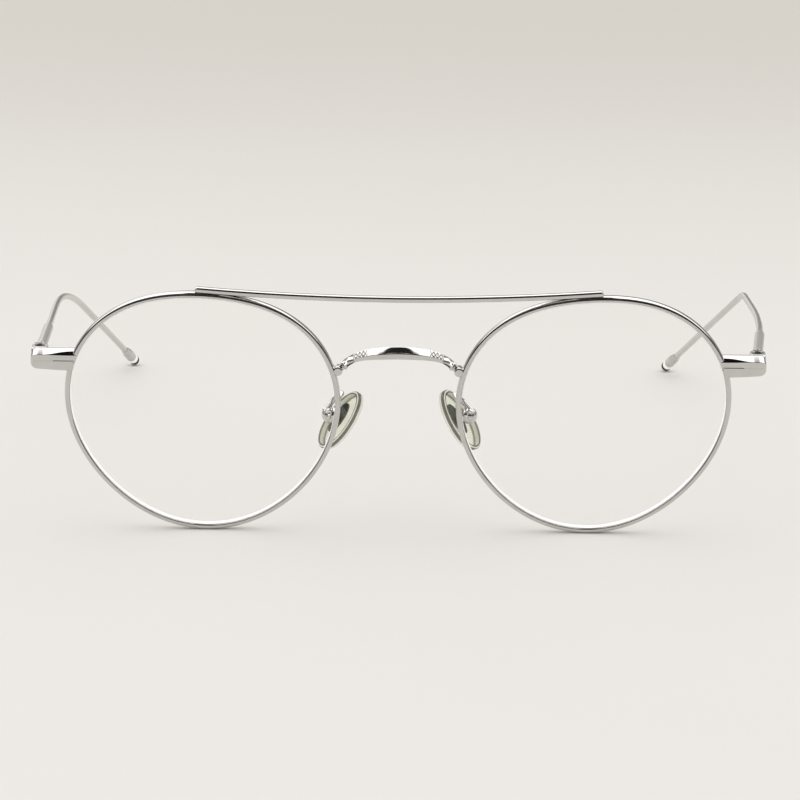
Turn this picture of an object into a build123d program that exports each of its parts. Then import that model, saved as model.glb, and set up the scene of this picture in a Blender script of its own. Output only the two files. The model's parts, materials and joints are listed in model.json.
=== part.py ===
from build123d import *
import math
import os

# Double bridge glasses. The front is drawn upright in its own frame: x to the right as seen
# from the front, y back towards the ears, z up, origin midway between the two lens centres.
# Everything is drawn for the right side and mirrored for the left one. At the end the glasses
# lean forward until rims and temple tips stand on z = 0.

# Rims and lenses
lens_spacing = 72.0          # between the two lens centres
rim_radius = 24.08           # mean outer radius of a rim
rim_face = 1.0               # width of the rim seen from the front
rim_depth = 2.2              # rim from front to back
rim_edge = 0.22              # rounding of the rim's long edges
front_curve = 125.0          # radius of the sphere that rims and lenses follow
oval_share = 0.0535          # outline: wider than tall
skew_share = 0.0202          # outline: top leans outwards
egg_share = 0.030            # outline: shoulders above, deep round bottom
outline_points = 28
outline_samples = 720
groove_depth = 0.45
groove_width = 1.0
lens_thickness = 1.6
lens_bevel_height = 0.4
lens_bevel_width = 0.9
lens_clearance = 0.03

# Brow bar
bar_past_centre = 1.4        # ends of the bar outside the lens centres
bar_height = 1.0
bar_depth = 1.7
bar_sag = 1.5
bar_sink = 0.08              # seat of the bar in the tops of the rims
bar_end_round = 0.45
bar_edge = 0.2

# Nose bridge
bridge_crown_rise = 9.58     # underside of the crown above the lens centres
bridge_crown_thickness = 2.04
bridge_end_thickness = 1.25
bridge_drop = 2.1            # underside of the shoulders below the crown
bridge_depth = 2.2
bridge_top_round = 0.85
bridge_edge = 0.2
bridge_run_shares = [0.0, 0.3, 0.57, 0.74, 0.83, 0.92, 1.0]
bridge_fall_shares = [0.0, 0.03, 0.09, 0.2, 0.33, 0.6, 1.0]
bridge_taper_shares = [0.0, 0.14, 0.5, 0.8, 0.95, 1.0, 1.0]
shoulder_slant_share = 0.5   # overhang of the top of the shoulder, of its thickness
collar_stand = 1.45          # collars short of the feet, across the nose
collar_radius = 0.92
collar_length = 0.45
neck_radius = 0.68
foot_radius = 0.88
foot_depth = 2.5
foot_edge = 0.25
foot_stand = 0.45            # foot's middle outside the rim's edge, towards the nose
foot_rise = 7.2

# End pieces
end_piece_height = 3.9
end_piece_rise = 8.7         # middle of the end piece above the lens centres
end_piece_length = 7.2       # outside the rim
end_piece_proud = 0.2        # front of the end piece before the front of the rim
end_piece_thickness = 2.7
end_piece_corner = 1.3
end_piece_edge = 0.8
end_piece_back_edge = 0.3
end_piece_overlap = 0.85     # how far the end piece reaches over the rim's face
slit_width = 0.12
slit_length = 3.0
return_width = 2.9
return_height = 2.8
return_edge = 0.5

# Closing screws
closing_screw_radius = 0.45
closing_screw_length = 3.0
closing_head_radius = 0.75
closing_head_height = 0.5
closing_inset = 1.4          # screw axis outside the rim's outer edge
screw_slot_width = 0.2
screw_slot_depth = 0.2

# Hinges
hinge_inset = 1.2            # hinge axis inside the end piece's outer end
hinge_setback = 4.2          # hinge axis behind the end piece's back
hinge_drop = 0.15            # hinge below the middle of the end piece
temple_slope_deg = 8.2       # temples slope down behind the front
knuckle_radius = 1.4
knuckle_height = 0.8
knuckle_gap = 0.06
leaf_width = 2.4
leaf_gap = 0.15              # knuckles to the leaf across the axis
leaf_thickness = 0.5
hinge_screw_radius = 0.55
hinge_head_radius = 0.95
hinge_head_height = 0.35
running_clearance = 0.03
butt_width = 3.0
butt_height = 2.3
butt_length = 3.4
butt_edge = 0.5
spigot_radius = 0.78
spigot_length = 2.5

# Temples
wire_radius = 0.63
fit_clearance = 0.01
sleeve_radius = 0.95
sleeve_edge = 0.15
sleeve_end = 34.0            # back end of the sleeve behind the hinge axis
bow_start = 44.0
bow_end = 58.0
temple_reach = 78.6          # hinge axis to the bend
hook_length = 69.0           # bend to the end of the tip
bow_radius = 160.0
bend_radius = {"left": 78.0, "right": 12.0}
bow_lift_deg = 4.1           # wire rises a little behind the sleeve
bow_deg = {"left": 1.27, "right": 4.08}
hook_drop_deg = {"left": 20.38, "right": 20.4}
splay_deg = {"left": 2.01, "right": 5.3}
hook_in_deg = {"left": 9.32, "right": 10.38}

# Temple tips
tip_radius = 1.05
tip_start_radius = 0.76
tip_sleeve_length = 8.6
tip_swell_length = 6.5
tip_ring_length = 1.3
tip_cap_length = 1.5
tip_wall = 0.6               # end of the wire to the end of the cap

# Nose pads
pad_length = 13.0
pad_width = 7.2
pad_thickness = 1.7
pad_lens_edge = 0.35
pad_nose_edge = 0.75
pad_tilt_deg = 33.0          # long axis, seen from the front
pad_splay_deg = 30.0         # pad face to the fore and aft plane
pad_stand_off = 3.0          # pad middle to the pad screw
insert_length = 6.5
insert_width = 2.6
insert_thickness = 0.4
lug_thickness = 0.8
lug_radius = 0.85
lug_neck = 1.2
lug_gap = 0.08

# Pad boxes, screws and arms
box_inset = 2.25             # box's middle outside the rim's nose side, towards the lens
box_setback = 4.67           # box's middle behind the back of the rim
box_rise = -2.75
box_radius = 1.35
box_length = 2.6
box_edge = 0.45
box_slot_depth = 1.0
pad_screw_radius = 0.4
pad_head_radius = 0.62
pad_head_height = 0.3
arm_radius = 0.5
arm_rise = 1.3               # where the arm leaves the rim, above the lens centres
arm_sink = 0.3               # arm's end in the rim and in the box
arm_bend_radius = 1.3
arm_loop_side = 0.8          # loop towards the nose
arm_loop_back = 5.7          # loop behind the rim
arm_loop_rise = 0.7
arm_side_shares = [0.8, 0.8, -1.3]
arm_back_shares = [0.38, 0.8, 1.0]
arm_rise_shares = [0.9, -0.4, -2.6]

# How far a cutting body runs past what it cuts
overrun = 12.0

rim_out = lens_spacing / 2
bar_half_length = rim_out + bar_past_centre
curve_centre_back = math.sqrt(front_curve ** 2 - rim_radius ** 2)
stack_height = 3 * knuckle_height + 2 * knuckle_gap
leaf_front = knuckle_radius + leaf_gap + leaf_thickness


def rim_radius_at(angle):
    """Outer radius of the rim about the lens centre: a circle made oval, skewed and egg shaped."""
    oval = oval_share * math.cos(2 * angle)
    skew = skew_share * math.sin(2 * angle)
    egg = egg_share * math.sin(3 * angle)
    return rim_radius * (1 + oval + skew + egg)


def rim_slope_at(angle):
    """Change of the outer radius with the angle."""
    oval = -2 * oval_share * math.sin(2 * angle)
    skew = 2 * skew_share * math.cos(2 * angle)
    egg = 3 * egg_share * math.cos(3 * angle)
    return rim_radius * (oval + skew + egg)


def outline_point(angle, inset):
    """Point of the right rim's outline, moved inwards along its normal."""
    radius = rim_radius_at(angle)
    slope = rim_slope_at(angle)
    along = math.hypot(radius, slope)
    normal_x = (radius * math.cos(angle) + slope * math.sin(angle)) / along
    normal_z = (radius * math.sin(angle) - slope * math.cos(angle)) / along
    x = rim_out + radius * math.cos(angle) - inset * normal_x
    z = radius * math.sin(angle) - inset * normal_z
    return x, z


def surface_back(x, z):
    """How far back the middle of rim and lens lies at a place of the right side."""
    flat = (x - rim_out) ** 2 + z ** 2
    return curve_centre_back - math.sqrt(front_curve ** 2 - flat)


def outline_extreme(axis, sign):
    """Outermost point of the right rim's outline: axis 0 is sideways, 1 is up."""
    angles = [2 * math.pi * step / outline_samples for step in range(outline_samples)]
    return max((outline_point(angle, 0) for angle in angles), key=lambda point: sign * point[axis])


def outline_prism(inset):
    """Straight prism, front to back, over the right rim's outline."""
    points = []
    for index in range(outline_points):
        x, z = outline_point(2 * math.pi * index / outline_points, inset)
        points.append(Vector(x, 0, z))
    face = make_face(Edge.make_spline(points, periodic=True))
    return extrude(face, amount=overrun, dir=(0, 1, 0), both=True)


def curved_layer(thickness):
    """Spherical layer that rims and lenses follow."""
    centre = Pos(rim_out, curve_centre_back, 0)
    return centre * (Sphere(front_curve + thickness / 2) - Sphere(front_curve - thickness / 2))


def curved_prism(inset, thickness):
    return outline_prism(inset) & curved_layer(thickness)


def rim_edge_at(rise, side_deg):
    """Where the right rim's outline passes a height: side_deg is 0 for its outer side, 180 at the nose."""
    turns = [math.pi * (step / outline_samples - 1 / 2) for step in range(outline_samples)]
    points = [outline_point(math.radians(side_deg) + turn, 0) for turn in turns]
    return min(points, key=lambda point: abs(point[1] - rise))[0]


rim_side = rim_edge_at(end_piece_rise, 0)
rim_side_back = surface_back(rim_side, end_piece_rise)
end_piece_front = rim_side_back - rim_depth / 2 - end_piece_proud
end_piece_out = rim_side + end_piece_length
hinge_out = end_piece_out - hinge_inset
hinge_back = end_piece_front + end_piece_thickness + hinge_setback
hinge_rise = end_piece_rise - hinge_drop
foot_out = rim_edge_at(foot_rise, 180) - foot_stand
bridge_half_length = foot_out - collar_stand
box_edge_out = rim_edge_at(box_rise, 180)
box_out = box_edge_out + box_inset
box_back = surface_back(box_edge_out, box_rise) + rim_depth / 2 + box_setback


def make_slit():
    """Thin gap that opens the rim and the inner end of the end piece."""
    length = rim_face + slit_length
    middle = rim_side - rim_face + slit_length / 2
    return Pos(middle, rim_side_back, end_piece_rise) * Box(length, overrun, slit_width)


def make_rim(slit):
    """Grooved ring, open at the slit."""
    ring = curved_prism(0, rim_depth) - outline_prism(rim_face)
    ring = fillet(ring.edges(), rim_edge)
    groove = curved_prism(rim_face - groove_depth, groove_width)
    return ring - groove - slit


def make_lens():
    """Thin curved lens whose edge stands in the rim's groove."""
    body = curved_prism(rim_face + lens_clearance, lens_thickness)
    edge = curved_prism(rim_face - lens_bevel_height, lens_bevel_width)
    return body + edge


def make_brow_bar():
    """Sagging bar that lies on the tops of both rims."""
    top_x, top_z = outline_extreme(1, 1)
    end_rise = top_z - bar_sink
    ends = [(-bar_half_length, end_rise), (bar_half_length, end_rise)]
    low = ThreePointArc(ends[0], (0, end_rise - bar_sag), ends[1])
    high = Pos(0, bar_height) * low
    face = make_face([low, high, Line(low @ 0, high @ 0), Line(low @ 1, high @ 1)])
    bar = extrude(Plane.XZ * face, amount=bar_depth / 2, both=True)
    bar = Pos(0, surface_back(top_x, top_z), 0) * bar
    ends = bar.edges().filter_by(Axis.Y).group_by(Axis.Z)[-1]
    bar = fillet(ends, bar_end_round)
    long_edges = bar.edges().filter_by(lambda edge: edge.length > bar_half_length)
    bar = fillet(long_edges, bar_edge)
    rims = outline_prism(0)
    return bar - rims - mirror(rims, about=Plane.YZ)


def bridge_profile():
    """Arch seen from the front, thick at the crown and thin at the shoulders."""
    low = []
    high = []
    for run, fall, taper in zip(bridge_run_shares, bridge_fall_shares, bridge_taper_shares):
        thick = bridge_crown_thickness + (bridge_end_thickness - bridge_crown_thickness) * taper
        x = run * bridge_half_length
        z = bridge_crown_rise - fall * bridge_drop
        low.append((x, z))
        high.append((x + fall * shoulder_slant_share * bridge_end_thickness, z + thick))
    low = [(-x, z) for x, z in reversed(low[1:])] + low
    high = [(-x, z) for x, z in reversed(high[1:])] + high
    under = Spline(*low)
    over = Spline(*high)
    return make_face([under, over, Line(under @ 0, over @ 0), Line(under @ 1, over @ 1)])


def make_bridge(rims):
    """Arched bridge with a collar, a neck and a rounded foot on each rim."""
    back = surface_back(foot_out, foot_rise)
    face = Plane.XZ * bridge_profile()
    arch = Pos(0, back, 0) * extrude(face, amount=bridge_depth / 2, both=True)
    long_edges = arch.edges().filter_by(lambda edge: edge.length > bridge_half_length)
    upper_front = long_edges.group_by(Axis.Y)[0].sort_by(Axis.Z)[-1]
    arch = fillet(upper_front, bridge_top_round)
    long_edges = arch.edges().filter_by(lambda edge: edge.length > bridge_half_length)
    arch = fillet(long_edges.group_by(Axis.Y)[-1], bridge_edge)
    end_low = bridge_crown_rise - bridge_drop
    end_x = bridge_half_length + shoulder_slant_share * bridge_end_thickness / 2
    start = Vector(end_x, back, end_low + bridge_end_thickness / 2)
    foot = Vector(foot_out, back, foot_rise)
    along = (foot - start).normalized()
    neck_length = (foot - start).length
    collar_place = Plane(origin=start, z_dir=along)
    neck = collar_place * Pos(0, 0, neck_length / 2) * Cylinder(neck_radius, neck_length)
    collar = collar_place * Cylinder(collar_radius, collar_length)
    pad = fillet(Cylinder(foot_radius, foot_depth).edges(), foot_edge)
    pad = Pos(foot) * Rot(X=90) * pad
    side = neck + collar + pad
    bridge = arch + side + mirror(side, about=Plane.YZ)
    for rim in rims:
        bridge = bridge - rim
    return bridge


def hinge_place():
    """Frame of the right hinge: z along its axis, y back along the temple."""
    return Location((hinge_out, hinge_back, hinge_rise), (-temple_slope_deg, 0, 0))


def closing_place():
    """Frame of the right closing screw: z up along it, from the underside of the end piece."""
    low = end_piece_rise - end_piece_height / 2
    back = end_piece_front + end_piece_thickness / 2
    return Location((rim_side + closing_inset, back, low))


def make_end_piece(slit):
    """Solid block on the rim's outer side, with a slit, a screw hole and a return to the hinge."""
    inner = rim_side - 2 * rim_face
    length = end_piece_out - inner
    block = Box(length, end_piece_thickness, end_piece_height)
    block = fillet(block.edges().filter_by(Axis.Y).group_by(Axis.X)[-1], end_piece_corner)
    block = fillet(block.faces().sort_by(Axis.Y)[0].edges(), end_piece_edge)
    block = fillet(block.faces().sort_by(Axis.Y)[-1].edges(), end_piece_back_edge)
    middle_back = end_piece_front + end_piece_thickness / 2
    block = Pos(inner + length / 2, middle_back, end_piece_rise) * block
    return_length = hinge_back - leaf_front - middle_back
    turn = Box(return_width, return_length, return_height)
    turn = fillet(turn.edges().filter_by(Axis.Y), return_edge)
    turn_out = end_piece_out - return_width / 2 - hinge_out
    turn = hinge_place() * Pos(turn_out, -leaf_front - return_length / 2, 0) * turn
    block = block + turn
    block = block - outline_prism(end_piece_overlap) - curved_prism(0, rim_depth) - slit
    hole = Pos(0, 0, closing_screw_length / 2) * Cylinder(
        closing_screw_radius + fit_clearance, closing_screw_length)
    recess = Cylinder(closing_head_radius + fit_clearance, 2 * closing_head_height)
    return block - closing_place() * (hole + recess)


def slotted(screw, top, radius):
    """Cut a driver's slot into the end of a screw that points up."""
    slot = Pos(0, 0, top) * Box(2 * radius + screw_slot_width, screw_slot_width, 2 * screw_slot_depth)
    return screw - slot


def make_closing_screw():
    """Small screw that draws the two halves of the slit together, head underneath."""
    shank = Pos(0, 0, closing_screw_length / 2) * Cylinder(closing_screw_radius, closing_screw_length)
    head = Pos(0, 0, closing_head_height / 2) * Cylinder(closing_head_radius, closing_head_height)
    screw = shank + head
    return closing_place() * slotted(screw, 0, closing_head_radius)


def knuckle(level):
    """Solid knuckle of the hinge at a level of the stack, in the hinge's frame."""
    return Pos(0, 0, level * (knuckle_height + knuckle_gap)) * Cylinder(knuckle_radius, knuckle_height)


def make_hinge_leaf():
    """Leaf on the end piece, with the upper and the lower knuckle."""
    back = leaf_front - leaf_thickness
    plate = Pos(0, -leaf_front + leaf_thickness / 2, 0) * Box(leaf_width, leaf_thickness, stack_height)
    leaf = plate
    for level in (-1, 1):
        rise = level * (knuckle_height + knuckle_gap)
        web = Pos(0, -back / 2, rise) * Box(leaf_width, back, knuckle_height)
        leaf = leaf + web + knuckle(level)
    bore = Cylinder(hinge_screw_radius + fit_clearance, stack_height + overrun)
    return hinge_place() * (leaf - bore)


def make_hinge_screw():
    """Slotted screw through all three knuckles, head on top."""
    top = stack_height / 2
    shank = Cylinder(hinge_screw_radius, stack_height)
    head = Pos(0, 0, top + hinge_head_height / 2) * Cylinder(hinge_head_radius, hinge_head_height)
    return hinge_place() * slotted(shank + head, top + hinge_head_height, hinge_head_radius)


def temple_place(side):
    """Frame of the opened temple: the hinge's frame turned outwards by its splay."""
    return hinge_place() * Rot(Z=-splay_deg[side])


def heading(inward_deg, drop_deg):
    """Direction in the temple's frame, turned inwards and down."""
    inward = math.radians(inward_deg)
    drop = math.radians(drop_deg)
    flat = math.cos(drop)
    return Vector(-math.sin(inward) * flat, math.cos(inward) * flat, -math.sin(drop))


def temple_points(side):
    """Corners of the temple's line: hinge, bow, bow, bend and end of the tip."""
    first = Vector(0, bow_start, 0)
    second = first + heading(bow_deg[side], -bow_lift_deg) * (bow_end - bow_start)
    bend = second + heading(2 * bow_deg[side], -bow_lift_deg) * (temple_reach - bow_end)
    hook = heading(hook_in_deg[side] + splay_deg[side], hook_drop_deg[side])
    return [first, second, bend, bend + hook * hook_length], hook


def make_temple_leaf():
    """Butt of the temple with the middle knuckle and the spigot for the sleeve."""
    front = knuckle_radius + leaf_gap
    butt = fillet(Box(butt_width, butt_length, butt_height).edges().filter_by(Axis.Y), butt_edge)
    butt = Pos(0, front + butt_length / 2, 0) * butt
    web = Pos(0, front / 2, 0) * Box(leaf_width, front, knuckle_height)
    bore = Cylinder(hinge_screw_radius + running_clearance, stack_height)
    spigot_middle = front + butt_length + spigot_length / 2
    spigot = Pos(0, spigot_middle, 0) * Rot(X=90) * Cylinder(spigot_radius, spigot_length)
    return butt + web + knuckle(0) - bore + spigot


def make_sleeve():
    """Straight tube over the spigot and the start of the wire."""
    start = knuckle_radius + leaf_gap + butt_length
    length = sleeve_end - start
    tube = Cylinder(sleeve_radius, length)
    tube = fillet(tube.edges(), sleeve_edge)
    tube = tube - Cylinder(wire_radius + fit_clearance, length)
    mouth = Cylinder(spigot_radius + fit_clearance, spigot_length)
    mouth = Pos(0, 0, length / 2 - spigot_length / 2) * mouth
    return Pos(0, start + length / 2, 0) * Rot(X=90) * (tube - mouth)


def make_wire(side):
    """Round wire from the spigot, gently bowed, to the bend and down into the tip."""
    corners, hook = temple_points(side)
    start = Vector(0, knuckle_radius + leaf_gap + butt_length + spigot_length, 0)
    end = corners[-1] - hook * tip_wall
    bends = [bow_radius, bow_radius, bend_radius[side]]
    path = FilletPolyline(start, *corners[:-1], end, radius=bends)
    section = Plane(origin=start, z_dir=(0, 1, 0)) * Circle(wire_radius)
    return sweep(section, path=path)


def tip_place(side, before_end):
    """Frame on the hook's line, z towards the tip's end, at a distance before that end."""
    corners, hook = temple_points(side)
    return Plane(origin=corners[-1] - hook * before_end, z_dir=hook)


def make_tip_sleeve(side):
    """Bulged metal end on the wire: thin at first, then swelling to the tip's full radius."""
    full = tip_cap_length + tip_ring_length
    swell = Spline(
        (tip_start_radius, 0), (tip_radius, tip_swell_length), tangents=[(0, 1), (0, 1)])
    outline = [
        Line((wire_radius + fit_clearance, 0), (tip_start_radius, 0)),
        swell,
        Line((tip_radius, tip_swell_length), (tip_radius, tip_sleeve_length)),
        Line((tip_radius, tip_sleeve_length), (wire_radius + fit_clearance, tip_sleeve_length)),
        Line((wire_radius + fit_clearance, tip_sleeve_length), (wire_radius + fit_clearance, 0)),
    ]
    body = revolve(Plane.XZ * make_face(outline), Axis.Z)
    return tip_place(side, full + tip_sleeve_length) * body


def make_tip_ring(side):
    """Short ring between the bulged end and the cap."""
    ring = Cylinder(tip_radius, tip_ring_length) - Cylinder(wire_radius + fit_clearance, tip_ring_length)
    return tip_place(side, tip_cap_length + tip_ring_length / 2) * ring


def make_tip_cap(side):
    """Domed cap that closes the tip over the end of the wire."""
    straight = tip_cap_length - tip_radius
    dome = Sphere(tip_radius) & Pos(0, 0, tip_radius) * Box(overrun, overrun, 2 * tip_radius)
    body = Pos(0, 0, straight / 2) * Cylinder(tip_radius, straight) + Pos(0, 0, straight) * dome
    depth = tip_cap_length - tip_wall
    bore = Cylinder(wire_radius + fit_clearance, 2 * depth)
    return tip_place(side, tip_cap_length) * (body - bore)


def pad_place():
    """Frame at the right pad screw: x up the pad, z from the pad to the lens, y to the front."""
    tilt = math.radians(pad_tilt_deg)
    turn = math.radians(90 - pad_splay_deg)
    up = Vector(-math.sin(tilt), 0, math.cos(tilt))
    out = Vector(math.sin(turn) * math.cos(tilt), -math.cos(turn), math.sin(turn) * math.sin(tilt))
    return Plane(origin=(box_out, box_back, box_rise), x_dir=up, z_dir=out)


def make_insert():
    """Metal plate moulded into the pad, with a lug that the pad screw passes through."""
    plate = Pos(0, 0, -pad_stand_off) * extrude(
        Ellipse(insert_length / 2, insert_width / 2), amount=insert_thickness / 2, both=True)
    neck = Pos(0, 0, -pad_stand_off / 2) * Box(lug_neck, lug_thickness, pad_stand_off)
    eye = Rot(X=90) * Cylinder(lug_radius, lug_thickness)
    bore = Rot(X=90) * Cylinder(pad_screw_radius + running_clearance, lug_thickness)
    return pad_place() * (plate + neck + eye - bore)


def make_pad(insert):
    """Oval pad, flat towards the lens and rounded towards the nose."""
    pad = extrude(Ellipse(pad_length / 2, pad_width / 2), amount=pad_thickness / 2, both=True)
    pad = fillet(pad.faces().sort_by(Axis.Z)[-1].edges(), pad_lens_edge)
    pad = fillet(pad.faces().sort_by(Axis.Z)[0].edges(), pad_nose_edge)
    return pad_place() * Pos(0, 0, -pad_stand_off) * pad - insert


def make_box_body():
    """Rounded body of the pad box, still solid."""
    body = fillet(Cylinder(box_radius, box_length).edges(), box_edge)
    return pad_place() * Rot(X=90) * body


def make_pad_box():
    """Rounded holder with a slot for the pad's lug."""
    slot_length = box_slot_depth + overrun
    slot = Pos(0, 0, box_slot_depth - slot_length / 2) * Box(
        overrun, lug_thickness + 2 * lug_gap, slot_length)
    bore = Rot(X=90) * Cylinder(pad_screw_radius + fit_clearance, box_length)
    return make_box_body() - pad_place() * (slot + bore)


def make_pad_screw():
    """Slotted screw through the box and the lug, head to the front."""
    shank = Cylinder(pad_screw_radius, box_length)
    top = box_length / 2
    head = Pos(0, 0, top + pad_head_height / 2) * Cylinder(pad_head_radius, pad_head_height)
    screw = slotted(shank + head, top + pad_head_height, pad_head_radius)
    return pad_place() * Rot(X=-90) * screw


def make_pad_arm(rim):
    """Wire from the back of the rim, looped towards the nose, to the pad box."""
    x = rim_edge_at(arm_rise, 180) + rim_face / 2
    start = Vector(x, surface_back(x, arm_rise) + rim_depth / 2 - arm_sink, arm_rise)
    points = [start]
    for side, back, rise in zip(arm_side_shares, arm_back_shares, arm_rise_shares):
        step = Vector(-side * arm_loop_side, back * arm_loop_back, rise * arm_loop_rise)
        points.append(start + step)
    box_plane = pad_place()
    points.append(box_plane.origin + box_plane.z_dir * (box_radius - arm_sink))
    path = FilletPolyline(*points, radius=arm_bend_radius)
    section = Plane(origin=start, z_dir=path % 0) * Circle(arm_radius)
    return sweep(section, path=path) - rim - make_box_body()


def front_pieces():
    """Pieces of the front, right side first, then mirrored."""
    slit = make_slit()
    rim = make_rim(slit)
    insert = make_insert()
    right = {
        "rim": rim,
        "lens": make_lens(),
        "end_piece": make_end_piece(slit),
        "closing_screw": make_closing_screw(),
        "hinge_leaf": make_hinge_leaf(),
        "hinge_screw": make_hinge_screw(),
        "pad_box": make_pad_box(),
        "pad_arm": make_pad_arm(rim),
        "pad_screw": make_pad_screw(),
        "pad_insert": insert,
        "nose_pad": make_pad(insert),
    }
    pieces = {}
    for name, piece in right.items():
        pieces[name + "_right"] = piece
        pieces[name + "_left"] = mirror(piece, about=Plane.YZ)
    pieces["brow_bar"] = make_brow_bar()
    pieces["nose_bridge"] = make_bridge([pieces["rim_right"], pieces["rim_left"]])
    return pieces


def temple_pieces(side):
    """Pieces of one opened temple."""
    place = temple_place(side)
    drawn = {
        "temple_leaf": make_temple_leaf(),
        "temple_sleeve": make_sleeve(),
        "temple_wire": make_wire(side),
        "tip_sleeve": make_tip_sleeve(side),
        "tip_ring": make_tip_ring(side),
        "tip_cap": make_tip_cap(side),
    }
    pieces = {}
    for name, piece in drawn.items():
        placed = place * piece
        if side == "left":
            placed = mirror(placed, about=Plane.YZ)
        pieces[name + "_" + side] = placed
    return pieces


def forward_lean():
    """Angle at which the bottoms of the rims and the ends of both tips stand level."""
    rim_x, rim_z = outline_extreme(1, -1)
    rim_back = surface_back(rim_x, rim_z)
    leans = []
    for side in splay_deg:
        corners, hook = temple_points(side)
        ball = (temple_place(side) * Pos(corners[-1] - hook * tip_radius)).position
        fall = rim_z - (ball.Z - tip_radius)
        leans.append(math.degrees(math.atan2(fall, ball.Y - rim_back)))
    return sum(leans) / len(leans)


def standing_place(pieces):
    """Move that leans the glasses forward and puts the middle of their footprint at the origin."""
    lean = Rot(X=forward_lean())
    box = Compound([lean * piece for piece in pieces.values()]).bounding_box()
    middle = box.center()
    return Pos(-middle.X, -middle.Y, -box.min.Z) * lean


def build_glasses():
    """All pieces by name, standing on z = 0."""
    pieces = front_pieces()
    for side in splay_deg:
        pieces.update(temple_pieces(side))
    place = standing_place(pieces)
    return {name: place * piece for name, piece in pieces.items()}


if __name__ == "__main__":
    os.makedirs("parts", exist_ok=True)
    for node, solid in build_glasses().items():
        export_step(solid, "parts/" + node + ".step")
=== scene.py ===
import json
import logging
import math
from dataclasses import dataclass
from enum import Enum
from typing import Any, Mapping, Optional, Sequence, Union

import bpy
import numpy as np
from numpy.typing import NDArray
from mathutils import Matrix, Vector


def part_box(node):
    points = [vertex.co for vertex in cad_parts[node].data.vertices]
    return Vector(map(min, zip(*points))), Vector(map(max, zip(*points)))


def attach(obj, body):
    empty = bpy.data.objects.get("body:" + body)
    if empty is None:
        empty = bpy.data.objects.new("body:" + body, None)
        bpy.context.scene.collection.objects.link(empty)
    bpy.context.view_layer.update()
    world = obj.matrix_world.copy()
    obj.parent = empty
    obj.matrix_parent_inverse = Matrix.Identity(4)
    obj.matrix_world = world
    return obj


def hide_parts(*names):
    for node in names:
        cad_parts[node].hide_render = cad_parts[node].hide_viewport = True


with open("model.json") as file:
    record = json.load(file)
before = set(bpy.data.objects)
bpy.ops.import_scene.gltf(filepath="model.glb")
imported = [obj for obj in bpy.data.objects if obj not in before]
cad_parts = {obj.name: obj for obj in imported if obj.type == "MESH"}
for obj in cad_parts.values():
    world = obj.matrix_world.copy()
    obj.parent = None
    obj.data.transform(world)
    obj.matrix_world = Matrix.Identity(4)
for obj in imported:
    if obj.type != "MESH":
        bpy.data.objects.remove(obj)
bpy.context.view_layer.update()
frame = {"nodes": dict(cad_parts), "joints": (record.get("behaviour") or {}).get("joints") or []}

# Double bridge glasses in polished silver-coloured metal. Shapes are worked out in millimetres, in
# frames of their own that are placed in the row frame. Only the finished meshes are in metres.

Array = NDArray[np.float64]
Outline = Sequence[tuple[float, float]]
Triple = tuple[float, float, float]
Colour = Triple
METRES = 0.001
OUT, BACK, UP = np.eye(3)
# A turned body whose axis is this near to UP is drawn with OUT upright.
STEEP_AXIS = 0.9
# Radius that only softens the points of a crowned face.
SOFTENED = 0.02
# Angle between the hinges' axes and the front's own upright.
TEMPLE_SLOPE_DEG = 8.2
# Places across a crowned face, as shares of half its width.
CROWN_SHARES = np.linspace(-0.75, 0.75, 9)
log = logging.getLogger("glasses")


class Side(Enum):
    """Side of the glasses, as seen from the front."""

    LEFT = -1
    RIGHT = 1

    @property
    def label(self) -> str:
        """Word that the nodes' names end in."""
        return self.name.lower()


BOTH_SIDES = (Side.LEFT, Side.RIGHT)


# Arithmetic on curves and profiles

def unit(vectors: Array) -> Array:
    """Vectors scaled to length one along the last axis."""
    return vectors / np.linalg.norm(vectors, axis=-1, keepdims=True)


def smooth_step(share: Array) -> Array:
    """3 s squared less 2 s cubed, held at 0 and 1 outside."""
    share = np.clip(share, 0.0, 1.0)
    return share * share * (3.0 - 2.0 * share)


def whole_turn(count: int) -> Array:
    """Angles of points spread evenly round a circle."""
    return np.linspace(0, 2 * math.pi, count, endpoint=False)


def quarter_turn(count: int) -> Array:
    """Angles from 0 to a right angle."""
    return np.linspace(0, math.pi / 2, count)


def points_of(*parts: Union[Array, float]) -> Array:
    """Points whose coordinates are the parts, spread over the shape that they share."""
    return np.stack(np.broadcast_arrays(*parts), axis=-1)


def smooth_through(places: Sequence[float], values: Sequence[float], at: Array) -> Array:
    """Cubic curve through knots, with each knot's slope taken from its neighbours.

    Args:
        places: Rising knot places.
        values: Value at each knot.
        at: Where the curve is read.

    Returns:
        The curve's value at each place asked for.
    """
    knots = np.asarray(places, float)
    heights = np.asarray(values, float)
    slopes = np.gradient(heights, knots)
    index = np.clip(np.searchsorted(knots, at) - 1, 0, len(knots) - 2)
    gap = knots[index + 1] - knots[index]
    t = (at - knots[index]) / gap
    start = (1 + 2 * t) * (1 - t) ** 2 * heights[index] + t * (1 - t) ** 2 * gap * slopes[index]
    end = t ** 2 * (3 - 2 * t) * heights[index + 1] + t ** 2 * (t - 1) * gap * slopes[index + 1]
    return start + end


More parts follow.
